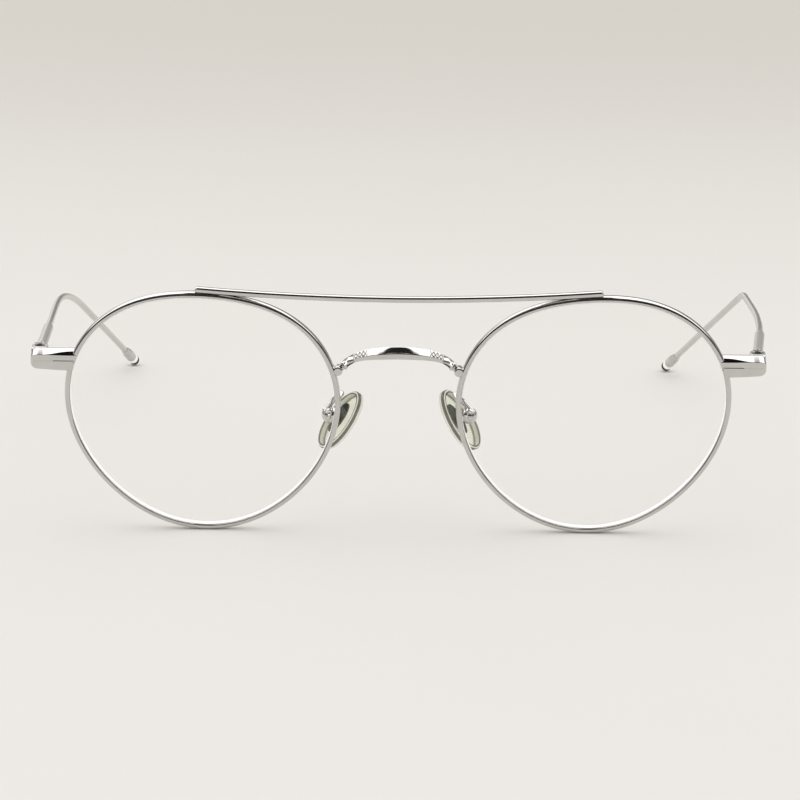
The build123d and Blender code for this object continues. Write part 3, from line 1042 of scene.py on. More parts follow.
@dataclass
class Lens:
    """Thin curved lens whose bevelled edge stands in the rim's groove."""

    outline: RimOutline
    inset: float = 1.03
    thickness: float = 1.6
    bevel_inset: float = 0.6
    bevel_width: float = 0.9
    edge_depth: float = 0.05
    edge_setback: float = 0.04
    edge_clearance: float = 0.01
    around: int = 256
    rings: int = 24
    smallest_ring: float = 0.002

    def grid(self) -> Array:
        """Front face, edge and back face as rings: each is the outline shrunk towards the centre.

        Returns:
            Grid of points, one row for each ring.
        """
        shrink = np.sqrt(np.linspace(self.smallest_ring, 1, self.rings))
        half, bevel = self.thickness / 2, self.bevel_width / 2
        share = np.concatenate([shrink, np.ones(4), shrink[::-1]])
        inset = np.full_like(share, self.inset)
        inset[self.rings + 1:self.rings + 3] = self.bevel_inset
        lift = np.concatenate([
            np.full(self.rings, half), [bevel, bevel, -bevel, -bevel], np.full(self.rings, -half)])
        flat = self.outline.points(whole_turn(self.around), inset[:, None])
        centre = np.array([self.outline.out, 0.0])
        return self.outline.on_sphere(centre + (flat - centre) * share[:, None, None], lift[:, None])

    def ground_edge(self) -> Array:
        """Matt band just inside the lens's edge, from its front face to its back face.

        Returns:
            Grid of points, one row for each angle.
        """
        half = self.thickness / 2 - self.edge_setback
        inner, outer = self.inset + self.edge_depth, self.inset + self.edge_clearance
        flat = self.outline.points(whole_turn(self.around)[:, None], np.array([inner, inner, outer, outer]))
        return self.outline.on_sphere(flat, np.array([-half, half, half, -half]))

    def build(self, place: FrontFrame) -> None:
        """Makes both lenses.

        Args:
            place: Frame of the front.
        """
        for side in BOTH_SIDES:
            on, name = place.on(side), f"lens_{side.label}"
            edge = Surface(on.place(self.ground_edge()), rows_closed=True)
            add_piece(f"clear_{name}", [Surface(on.place(self.grid()))], FINISHES.lens, "front", [name])
            add_piece(f"ground_lens_edge_{side.label}", [edge], FINISHES.ground, "front", [name])


@dataclass
class BrowBar:
    """Flat bar that sags between the tops of both rims."""

    outline: RimOutline
    half_length: float = 37.4
    height: float = 1.0
    depth: float = 1.7
    crown: float = 0.15
    front_round: float = 0.34
    back_round: float = 0.22
    under_round: float = 0.22
    end_round: float = 0.45
    end_rise: float = 22.033
    sag: float = 1.5
    columns: int = 161

    def _section(self) -> Array:
        """Section with a crowned top, as the rim's outside is crowned.

        Returns:
            Fore and aft place, and height over the lower face.
        """
        half, shoulder = self.depth / 2, self.height - self.crown
        share = CROWN_SHARES[::-1]
        crowned = list(zip(half * share, self.height - self.crown * share ** 2))
        corners = [(-half, 0.0), (half, 0.0), (half, shoulder), *crowned, (-half, shoulder)]
        under, softened = [self.under_round] * 2, [SOFTENED] * len(crowned)
        return rounded_loop(corners, [*under, self.back_round, *softened, self.front_round], 7)

    def grid(self) -> Array:
        """Section carried along the circle through both ends and the sagging middle.

        Near an end, the height loses what a quarter round takes off.

        Returns:
            Grid of points, one row for each place along the bar.
        """
        profile = self._section()
        radius = (self.half_length ** 2 + self.sag ** 2) / (2 * self.sag)
        straight = self.half_length - self.end_round
        turn = quarter_turn(7)[:-1]
        tail = straight + self.end_round * np.cos(turn)
        lost = self.end_round * (1 - np.sin(turn))
        middle = np.linspace(-straight, straight, self.columns)
        across = np.concatenate([-tail, middle, tail[::-1]])[:, None]
        lowered = np.concatenate([lost, np.zeros(self.columns), lost[::-1]])[:, None]
        low = self.end_rise - self.sag + radius - np.sqrt(radius ** 2 - across ** 2)
        share = (self.height - lowered) / self.height
        back = self.outline.depth_at(self.outline.out, self.end_rise)
        return points_of(across, back + profile[:, 0], low + profile[:, 1] * share)

    def build(self, place: FrontFrame) -> None:
        """Makes the bar.

        Args:
            place: Frame of the front.
        """
        skin = Surface(place.on(Side.RIGHT).place(self.grid()))
        add_piece("polished_brow_bar", [skin], FINISHES.polished, "front", ["brow_bar"])


@dataclass(frozen=True)
class Engraving:
    """Leaves and grooves cut into the bridge's shoulders. Heights are shares of the section's.

    Attributes:
        relief: Depth of the cut.
        leaves: Where the leaves start and end, outwards from the crown.
        leaf_fades: Over what lengths they set in and end.
        leaf_length, leaf_half, leaf_middle: Length of two leaves, half their height, and their middle.
        line_half, line_fade: Half width of a leaf's outline, and how its inside sets in.
        vein_pitch, vein_slant, vein_half: Distance between veins, their slant and their half width.
        closing_out, closing_half: Place of the line that closes the leaves off, and half its width.
        grooves, groove_fades: The same for the grooves as for the leaves.
        groove_count, groove_twist: Grooves over the height, and how much they climb.
        groove_wall: Level of the grooves' wave at which a wall starts, and over how much it rises.
        depths: Depth of outlines, veins and closing line, before all is held at 1.
        lowest_leaf, lowest_cut: Heights that the leaves and the cut start from.
    """

    relief: float = 0.08
    leaves: tuple[float, float] = (5.4, 8.2)
    leaf_fades: tuple[float, float] = (0.9, 0.15)
    leaf_length: float = 1.4
    leaf_half: float = 0.17
    leaf_middle: float = 0.74
    line_half: float = 0.045
    line_fade: float = 0.04
    vein_pitch: float = 0.3
    vein_slant: float = 2.2
    vein_half: float = 0.45
    closing_out: float = 8.25
    closing_half: float = 0.09
    grooves: tuple[float, float] = (8.3, 9.6)
    groove_fades: tuple[float, float] = (0.12, 0.2)
    groove_count: float = 2.6
    groove_twist: float = 0.45
    groove_wall: tuple[float, float] = (0.1, 0.5)
    depths: Triple = (1.1, 0.8, 0.7)
    lowest_leaf: float = 0.5
    lowest_cut: float = 0.45

    @staticmethod
    def _between(reach: Array, ends: tuple[float, float], fades: tuple[float, float]) -> Array:
        """1 between both ends, with a smooth fade inside each."""
        return smooth_step((reach - ends[0]) / fades[0]) * smooth_step((ends[1] - reach) / fades[1])

    def depth(self, along: Array, height: Array) -> Array:
        """Depth of the engraving, from 0 to 1.

        Two mirrored waves h = m +- a sin(2 pi s / w) make leaf-shaped cells with slanting veins.
        A line closes them off. Next to the collars, bold grooves run along the arch.

        Args:
            along: Distance from the crown, with its sign.
            height: Height as a share of the section's.

        Returns:
            Depth at each point.
        """
        reach = np.abs(along)
        run, across = reach - self.leaves[0], height - self.leaf_middle
        wave = self.leaf_half * np.sin(2 * math.pi * run / self.leaf_length)
        outlines = sum(np.exp(-((across - edge) / self.line_half) ** 2) for edge in (wave, -wave))
        inside = smooth_step((np.abs(wave) - np.abs(across)) / self.line_fade)
        slanting = np.sin(math.pi * (run / self.vein_pitch + self.vein_slant * across))
        veins = inside * np.exp(-(slanting / self.vein_half) ** 2)
        closing = np.exp(-((reach - self.closing_out) / self.closing_half) ** 2)
        climb = height * self.groove_count - self.groove_twist * (reach - self.grooves[0])
        foot, rise = self.groove_wall
        groove = smooth_step((np.sin(2 * math.pi * climb) - foot) / rise)
        window = self._between(reach, self.leaves, self.leaf_fades) * (height > self.lowest_leaf)
        strong, faint, line = self.depths
        return np.clip(
            window * (strong * outlines + faint * veins) + line * closing
            + self._between(reach, self.grooves, self.groove_fades) * groove, 0, 1)


@dataclass
class NoseBridge:
    """Arched bridge: a flat band in front, a crowned slope above it and engraved shoulders.

    At runs, shares of the half length, falls gives the lower curve's fall as a share of drop, and
    tapers how far the thickness has gone from the crown's to the ends'.
    """

    outline: RimOutline
    engraving: Engraving = Engraving()
    half_length: float = 9.703
    crown_rise: float = 9.58
    crown_thickness: float = 2.04
    end_thickness: float = 1.25
    drop: float = 2.1
    depth: float = 2.2
    band: float = 1.07
    bulge: float = 0.16
    edge_rounds: tuple[float, float, float, float] = (0.16, 0.1, 0.3, 0.18)
    runs: tuple[float, ...] = (0.0, 0.3, 0.57, 0.74, 0.83, 0.92, 1.0)
    falls: tuple[float, ...] = (0.0, 0.03, 0.09, 0.2, 0.33, 0.6, 1.0)
    tapers: tuple[float, ...] = (0.0, 0.14, 0.5, 0.8, 0.95, 1.0, 1.0)
    slant: float = 0.5
    foot_out: float = 11.153
    foot_rise: float = 7.2
    foot_radius: float = 0.86
    foot_depth: float = 2.5
    foot_round: float = 0.3
    collar_radius: float = 0.9
    collar_round: float = 0.24
    neck_radius: float = 0.66
    neck_sink: float = 0.6
    columns: int = 421
    around: int = 168

    def _section(self) -> Array:
        """Section at the crown, evenly divided: fore and aft place, and height as a share.

        The slope above the band bulges by b 4 s (1 - s) at the share s of its run.

        Returns:
            Both numbers at each point.
        """
        half, full = self.depth / 2, self.crown_thickness
        slope = np.linspace(0, 1, 9)[1:-1]
        rise = self.band + (full - self.band) * slope + self.bulge * 4 * slope * (1 - slope)
        bulged = zip(-half + self.depth * slope, rise)
        corners = [(-half, 0.0), (-half, self.band), *bulged, (half, full), (half, 0.0)]
        below, band, top, behind = self.edge_rounds
        loop = rounded_loop(corners, [below, band, *[SOFTENED] * len(slope), top, behind], 7)
        loop = np.vstack([loop, loop[:1]])
        length = np.concatenate([[0.0], np.cumsum(np.linalg.norm(np.diff(loop, axis=0), axis=1))])
        even = np.linspace(0, length[-1], self.around, endpoint=False)
        return points_of(np.interp(even, length, loop[:, 0]), np.interp(even, length, loop[:, 1]) / full)

    def arch(self) -> tuple[Array, Array]:
        """Arch: each column runs from the lower curve to the upper one, cut in by the engraving.

        Returns:
            Grid of points and the engraving's depth at each.
        """
        share = np.linspace(-1, 1, self.columns)
        knots = np.concatenate([-np.array(self.runs[:0:-1]), self.runs])
        fall, taper = (
            smooth_through(knots, [*values[:0:-1], *values], share) for values in (self.falls, self.tapers))
        thick = self.crown_thickness + (self.end_thickness - self.crown_thickness) * taper
        low_x = share * self.half_length
        low_z = self.crown_rise - fall * self.drop
        high_x = low_x + np.sign(share) * fall * self.slant * self.end_thickness
        depth, height = self._section().T
        x = low_x[:, None] + (high_x - low_x)[:, None] * height
        cut = self.engraving.depth(x, height)
        inward = self.engraving.relief * cut
        y = self.outline.depth_at(self.foot_out, self.foot_rise) + depth * (1 - 2 * inward / self.depth)
        z = low_z[:, None] + thick[:, None] * height
        return points_of(x, y, z - np.where(height > self.engraving.lowest_cut, inward, 0.0)), cut

    def shoulders(self) -> list[Array]:
        """Collar, neck and foot of the right shoulder, as turned bodies.

        Returns:
            One grid of points for each.
        """
        back = self.outline.depth_at(self.foot_out, self.foot_rise)
        start = np.array([
            self.half_length + self.slant * self.end_thickness / 2, back,
            self.crown_rise - self.drop + self.end_thickness / 2])
        foot = np.array([self.foot_out, back, self.foot_rise])
        way = foot - start
        bulge, neck = self.collar_round, self.neck_radius
        angle = np.linspace(-math.pi / 2, math.pi / 2, 13)
        collar = list(zip(bulge * np.sin(angle), self.collar_radius - bulge + bulge * np.cos(angle)))
        half = self.foot_depth / 2
        disc = rod(-half, half, self.foot_radius, self.foot_round)
        reach = [(-self.neck_sink, neck), (0.0, neck), (float(np.linalg.norm(way)), neck)]
        return [turned(start, way, collar), turned(start, way, reach), turned(foot, BACK, disc)]

    def build(self, place: FrontFrame) -> None:
        """Makes the bridge.

        Args:
            place: Frame of the front.
        """
        arch, depth = self.arch()
        skins = [Surface(place.on(Side.RIGHT).place(arch), mark=depth)]
        skins += [Surface(place.on(side).place(grid)) for side in BOTH_SIDES for grid in self.shoulders()]
        add_piece("engraved_nose_bridge", skins, FINISHES.engraved, "front", ["nose_bridge"])


# Nose pads

@dataclass
class NosePad:
    """Moulded pad, metal plate inside it, and the wire arm that carries its box."""

    outline: RimOutline
    side: Side
    tilt_deg: float
    pad_shift: tuple[float, float]
    box_shift: tuple[float, float]
    length: float
    splay_deg: float = 30.0
    stand_off: float = 3.0
    width: float = 7.1
    thickness: float = 1.65
    lens_edge: float = 0.4
    nose_edge: float = 0.8
    box_inset: float = 2.25
    box_setback: float = 4.67
    box_rise: float = -2.75
    box_radius: float = 1.58
    box_foot_turn: float = -0.95
    box_foot_share: float = 0.45
    edge_band: float = 0.62
    nose_line: float = 0.35
    upper_taper: float = 0.06
    nose_crown: float = 0.12
    smallest_ring: float = 0.004
    arm_radius: float = 0.48
    arm_step: float = 0.12
    arm_rise: float = 1.3
    arm_bend: float = 1.3
    arm_steps: tuple[Triple, ...] = (
        (-0.64, 2.166, 0.63), (-0.64, 4.56, -0.28), (1.04, 5.7, -1.82))
    arm_sink: float = 0.3
    arm_upright: Triple = (1.0, 0.2, 0.1)
    rim_depth: float = 2.2
    rim_face: float = 1.0
    around: int = 160
    around_arm: int = 28
    around_ball: int = 56

    def frame_at_box(self) -> tuple[Array, Array]:
        """Axes and origin of the pad box in the front's frame.

        Returns:
            Rows up the pad, across it and from pad to lens, and the box's middle.
        """
        tilt, turn = math.radians(self.tilt_deg), math.radians(90 - self.splay_deg)
        up = np.array([-math.sin(tilt), 0.0, math.cos(tilt)])
        out = np.array([math.sin(turn) * math.cos(tilt), -math.cos(turn), math.sin(turn) * math.sin(tilt)])
        edge = self.outline.edge_at(self.box_rise, math.pi)
        back = self.outline.depth_at(*edge) + self.rim_depth / 2 + self.box_setback
        aside, above = self.box_shift
        box = np.array([edge[0] + self.box_inset + aside, back, self.box_rise + above])
        return np.stack([up, np.cross(out, up), out]), box

    def pad_grid(self) -> tuple[Array, Array]:
        """Pad as rings: an oval drawn in by each rounded edge, flat to the lens, crowned to the nose.

        The oval is an ellipse whose upper end is a little narrower: width times (1 - k cos t).

        Returns:
            Grid of points, and at each the distance from the edge as a share of the edge's band, which
            places the painted edge lines.
        """
        half, turn = self.thickness / 2, quarter_turn(9)
        face = np.sqrt(np.linspace(self.smallest_ring, 1, 14))[:-1]
        flat, steps = np.ones(len(face)), len(turn)
        inward, down = 1 - np.sin(turn), 1 - np.cos(turn)
        lens, nose = self.lens_edge, self.nose_edge
        inset = np.concatenate([flat * lens, lens * inward, nose * inward[::-1], flat * nose])
        lift = np.concatenate([flat * half, half - lens * down, nose * down[::-1] - half, flat * -half])
        share = np.concatenate([face, np.ones(2 * steps), face[::-1]])
        angle = whole_turn(self.around)
        wide_half = (self.width / 2 - inset) * share
        along = ((self.length / 2 - inset) * share)[:, None] * np.cos(angle)
        across = wide_half[:, None] * np.sin(angle) * (1 - self.upper_taper * np.cos(angle))
        crown = self.nose_crown * (1 - share ** 2) * (lift < 0)
        # This share places the pad's painted edge reflections and painted highlight.
        inside = np.clip((self.width / 2 - wide_half) / self.edge_band, 0, 1)
        first = len(face) + steps
        inside[first:first + steps] = np.linspace(self.nose_line, 1.0, steps)
        inside[first + steps:] = 1.0
        grid = points_of(along, across, (lift - crown)[:, None])
        return grid, np.broadcast_to(inside[:, None], along.shape)

    def ball(self, box: Array, way: Array) -> Array:
        """Box as a ball with a flattened foot towards the pad.

        Args:
            box: Middle of the ball.
            way: Direction from pad to lens.

        Returns:
            Grid of points.
        """
        turn = np.linspace(self.box_foot_turn, math.pi / 2, 26)[:-1]
        foot = (math.sin(self.box_foot_turn), self.box_foot_share)
        outline = np.array([foot, *zip(np.sin(turn), np.cos(turn))]) * self.box_radius
        return turned(box, way, outline, self.around_ball)

    def arm(self) -> Array:
        """Round wire from the back of the rim, looped towards the nose, to the box.

        Returns:
            Grid of points.
        """
        axes, box = self.frame_at_box()
        x = self.outline.edge_at(self.arm_rise, math.pi)[0] + self.rim_face / 2
        back = self.outline.depth_at(x, self.arm_rise) + self.rim_depth / 2 - self.arm_sink
        start = np.array([x, back, self.arm_rise])
        end = box + axes[2] * (self.box_radius - self.arm_sink)
        corners = np.vstack([start, start + np.array(self.arm_steps), end])
        route = Route(corners, [self.arm_bend] * len(self.arm_steps))
        return route.tube(self.arm_radius, self.arm_step, self.around_arm, np.array(self.arm_upright))

    def build(self, place: FrontFrame) -> None:
        """Makes pad, box and arm, and dresses the screw and the plate inside the pad.

        Args:
            place: Frame of the front.
        """
        axes, box = self.frame_at_box()
        grid, inside = self.pad_grid()
        aside, above = self.pad_shift
        pad = (grid - self.stand_off * UP) @ axes + box + OUT * aside + UP * above
        on, label = place.on(self.side), self.side.label
        arm, ball, pad_body = self.arm(), self.ball(box, axes[2]), f"pad_{label}"
        parts = (
            ("moulded_nose_pad", Surface(on.place(pad), mark=inside), FINISHES.pad, pad_body, "nose_pad"),
            ("bent_pad_arm", Surface(on.place(arm)), FINISHES.polished, "front", "pad_arm"),
            ("ball_pad_box", Surface(on.place(ball)), FINISHES.polished, "front", "pad_box"))
        for name, skin, finish, body, node in parts:
            add_piece(f"{name}_{label}", [skin], finish, body, [f"{node}_{label}"])
        dress_node(f"pad_screw_{label}", FINISHES.screw)
        dress_node(f"pad_insert_{label}", FINISHES.plate)


# Temples

def hinge_place(side: Side, splay_deg: float) -> Placement:
    """Placement from the hinge joint: its point, and its axis turned up, splayed outwards.

    Args:
        side: Side of the hinge.
        splay_deg: Turn outwards about the hinge's axis.

    Returns:
        Frame with z up the hinge's axis, x outwards and y back.
    """
    joint = joint_of(f"temple_{side.label}")
    axis = unit(np.array(joint["axis"], float))
    axis = axis * np.sign(axis[2])
    out, ahead = OUT * side.value, np.cross(axis, OUT)
    cos, sin = math.cos(math.radians(splay_deg)), math.sin(math.radians(splay_deg))
    axes = np.stack([out * cos - ahead * sin, out * sin + ahead * cos, axis])
    return Placement(axes, np.array(joint["pos_m"], float) / METRES)


@dataclass
class Temple:
    """Temple of one side: sleeve, bowed wire and the three pieces of its tip, in the hinge's frame.

    The frame has z up the hinge's axis, x outwards and y back along the straight temple.
    """

    side: Side
    splay_deg: float
    hook_in_deg: float
    bow_deg: float
    hook_drop_deg: float
    bend_radius: float
    sleeve_start: float = 4.95
    sleeve_radius: float = 0.95
    sleeve_end: float = 34.0
    sleeve_round: float = 0.15
    wire_radius: float = 0.63
    wire_sink: float = 1.0
    wire_step: float = 0.7
    bow_start: float = 44.0
    bow_end: float = 58.0
    reach: float = 78.6
    hook_length: float = 69.0
    bow_lift_deg: float = 4.1
    bow_radius: float = 160.0
    tip_radius: float = 1.05
    tip_start_radius: float = 0.7
    tip_sleeve_length: float = 7.2
    tip_swell_start: float = 0.15
    tip_swell: float = 3.8
    tip_start_round: float = 0.1
    tip_round: float = 0.08
    ring_length: float = 1.9
    cap_length: float = 2.3
    cap_wall: float = 0.6
    butt_width: float = 3.0
    butt_height: float = 2.3
    butt_length: float = 3.4
    butt_end: float = 1.05
    butt_straight: float = 0.9
    butt_steps: tuple[float, ...] = (0.0, 0.03, 0.12, 0.28)
    butt_rest: float = 0.5
    butt_softening: float = 0.16
    butt_squareness: float = 5.0
    collar_wire: float = 0.16
    collar_sink: float = 0.02
    knuckle_radius: float = 1.38
    knuckle_height: float = 0.78
    knuckle_bore: float = 0.6
    knuckle_rounds: tuple[float, float, float, float] = (0.04, 0.12, 0.12, 0.04)
    web_width: float = 2.3
    web_round: float = 0.1
    web_start: float = 0.7
    web_sink: float = 0.2
    around: int = 40
    around_butt: int = 56

    @property
    def body(self) -> str:
        """The CAD body of this temple."""
        return f"temple_{self.side.label}"

    @staticmethod
    def _heading(inward_deg: float, drop_deg: float) -> Array:
        """Direction turned inwards and down."""
        inward, drop = math.radians(inward_deg), math.radians(drop_deg)
        return (BACK * math.cos(inward) - OUT * math.sin(inward)) * math.cos(drop) - UP * math.sin(drop)

    def corners(self) -> tuple[Array, Array]:
        """Corners of the temple's line.

        Returns:
            Two corners of the bow, the ear bend and the tip's end, and the direction of the hook.
        """
        first = BACK * self.bow_start
        second = first + self._heading(self.bow_deg, -self.bow_lift_deg) * (self.bow_end - self.bow_start)
        bend = second + self._heading(2 * self.bow_deg, -self.bow_lift_deg) * (self.reach - self.bow_end)
        hook = self._heading(self.hook_in_deg + self.splay_deg, self.hook_drop_deg)
        return np.stack([first, second, bend, bend + hook * self.hook_length]), hook

    def wire(self) -> Array:
        """Round wire along the bowed and bent line, from inside the sleeve to inside the cap.

        Returns:
            Grid of points.
        """
        corners, hook = self.corners()
        start, end = BACK * (self.sleeve_end - self.wire_sink), corners[-1] - hook * self.cap_wall
        radii = [self.bow_radius, self.bow_radius, self.bend_radius]
        route = Route(np.vstack([start, corners[:-1], end]), radii)
        return route.tube(self.wire_radius, self.wire_step, self.around, UP)

    def sleeve(self) -> Array:
        """Straight tube with softened mouths."""
        outline = rod(0.0, self.sleeve_end - self.sleeve_start, self.sleeve_radius, self.sleeve_round)
        return turned(BACK * self.sleeve_start, BACK, outline, self.around)

    @property
    def butt_front(self) -> float:
        """Where the butt starts, behind the hinge's axis."""
        return self.sleeve_start - self.butt_length

    def butt(self) -> Array:
        """Butt that narrows from a rounded block to the sleeve.

        A section is a superellipse: across a c, up b s, with c and s the cosine and sine raised to
        2 / n. Width, height and the power n all fall by a smooth step along the butt, to a circle,
        and the softened front end takes a share off both sizes.

        Returns:
            Grid of points, one row for each section.
        """
        angle = whole_turn(self.around_butt)
        rest = np.linspace(self.butt_rest, self.butt_length, 22)
        along = np.concatenate([self.butt_steps, rest])[:, None]
        share = smooth_step((along - self.butt_straight) / (self.butt_length - self.butt_straight))
        power = 2 / (self.butt_squareness + (2.0 - self.butt_squareness) * share)
        start = 1 - self.butt_softening * (1 - np.sqrt(np.clip(along / self.butt_steps[-1], 0, 1)))
        wide = (self.butt_width / 2 + (self.butt_end - self.butt_width / 2) * share) * start
        tall = (self.butt_height / 2 + (self.butt_end - self.butt_height / 2) * share) * start
        return points_of(
            wide * np.sign(np.cos(angle)) * np.abs(np.cos(angle)) ** power, self.butt_front + along,
            tall * np.sign(np.sin(angle)) * np.abs(np.sin(angle)) ** power)

    def collar(self) -> Array:
        """Ring at the sleeve's mouth: a small circle turned about the sleeve.

        Returns:
            Grid of points, one row for each angle.
        """
        radius, along = (circle(12) * self.collar_wire).T
        radius = radius + self.butt_end - self.collar_sink
        spin = whole_turn(self.around_butt)[:, None]
        return points_of(radius * np.cos(spin), self.sleeve_start + along, radius * np.sin(spin))

    def knuckle(self) -> Array:
        """Eye of the hinge: a rounded rectangle turned about the hinge's axis.

        Returns:
            Grid of points, one row for each angle.
        """
        inner, outer, half = self.knuckle_bore, self.knuckle_radius, self.knuckle_height / 2
        corners = [(inner, -half), (outer, -half), (outer, half), (inner, half)]
        radius, up = rounded_loop(corners, self.knuckle_rounds).T
        spin = whole_turn(self.around_butt)[:, None]
        return points_of(radius * np.cos(spin), radius * np.sin(spin), up)

    def web(self) -> Array:
        """Flat bar from the knuckle into the butt."""
        across, up = rounded_box(self.web_width / 2, self.knuckle_height / 2, self.web_round).T
        return points_of(across, np.array([self.web_start, self.butt_front + self.web_sink])[:, None], up)

    def tip_sleeve(self) -> Array:
        """Bulged end: the radius rises by a smooth step from the wire to the full tip.

        Returns:
            Grid of points.
        """
        start, full, length = self.tip_start_radius, self.tip_radius, self.tip_sleeve_length
        distance = np.linspace(self.tip_swell_start, self.tip_swell, 40)
        radius = start + (full - start) * smooth_step(distance / self.tip_swell)
        outline = [
            *soft_edge(0.0, start, self.tip_start_round, False), *zip(distance, radius),
            *soft_edge(length, full, self.tip_round, True)]
        return self._on_tip(outline, self.cap_length + self.ring_length + length)

    def ring(self) -> Array:
        """Short ring with softened edges."""
        outline = rod(0.0, self.ring_length, self.tip_radius, self.tip_round)
        return self._on_tip(outline, self.cap_length + self.ring_length)

    def cap(self) -> Array:
        """Cap: a short cylinder that ends in half a ball.

        Returns:
            Grid of points.
        """
        length, radius, angle = self.cap_length, self.tip_radius, quarter_turn(14)[:-1]
        dome = list(zip(length - radius + radius * np.sin(angle), radius * np.cos(angle)))
        return self._on_tip(soft_edge(0.0, radius, self.tip_round, False) + dome, length)

    def _on_tip(self, outline: Outline, before_end: float) -> Array:
        """Turned body on the hook's line, starting that far before its end."""
        corners, hook = self.corners()
        return turned(corners[-1] - hook * before_end, hook, outline, self.around)

    def build(self) -> None:
        """Makes the temple's pieces, with a butt in place of its leaf."""
        on, label = hinge_place(self.side, self.splay_deg), self.side.label
        parts = (
            ("drawn_temple_wire", self.wire(), FINISHES.wire, "temple_wire"),
            ("brushed_temple_sleeve", self.sleeve(), FINISHES.brushed, "temple_sleeve"),
            ("bulged_tip_sleeve", self.tip_sleeve(), FINISHES.brushed, "tip_sleeve"),
            ("ivory_tip_ring", self.ring(), FINISHES.ivory, "tip_ring"),
            ("charcoal_tip_cap", self.cap(), FINISHES.charcoal, "tip_cap"))
        for name, grid, finish, node in parts:
            add_piece(f"{name}_{label}", [Surface(on.place(grid))], finish, self.body, [f"{node}_{label}"])
        skins = [
            Surface(on.place(self.butt())), Surface(on.place(self.collar()), rows_closed=True),
            Surface(on.place(self.knuckle()), rows_closed=True), Surface(on.place(self.web()))]
        name = f"flared_temple_butt_{label}"
        add_piece(name, skins, FINISHES.polished, self.body, [f"temple_leaf_{label}"])


TEMPLES = (
    Temple(
        Side.LEFT, splay_deg=2.01, hook_in_deg=9.32, bow_deg=1.27, hook_drop_deg=20.38, bend_radius=78.0),
    Temple(
        Side.RIGHT, splay_deg=5.3, hook_in_deg=10.38, bow_deg=4.08, hook_drop_deg=20.4, bend_radius=12.0))


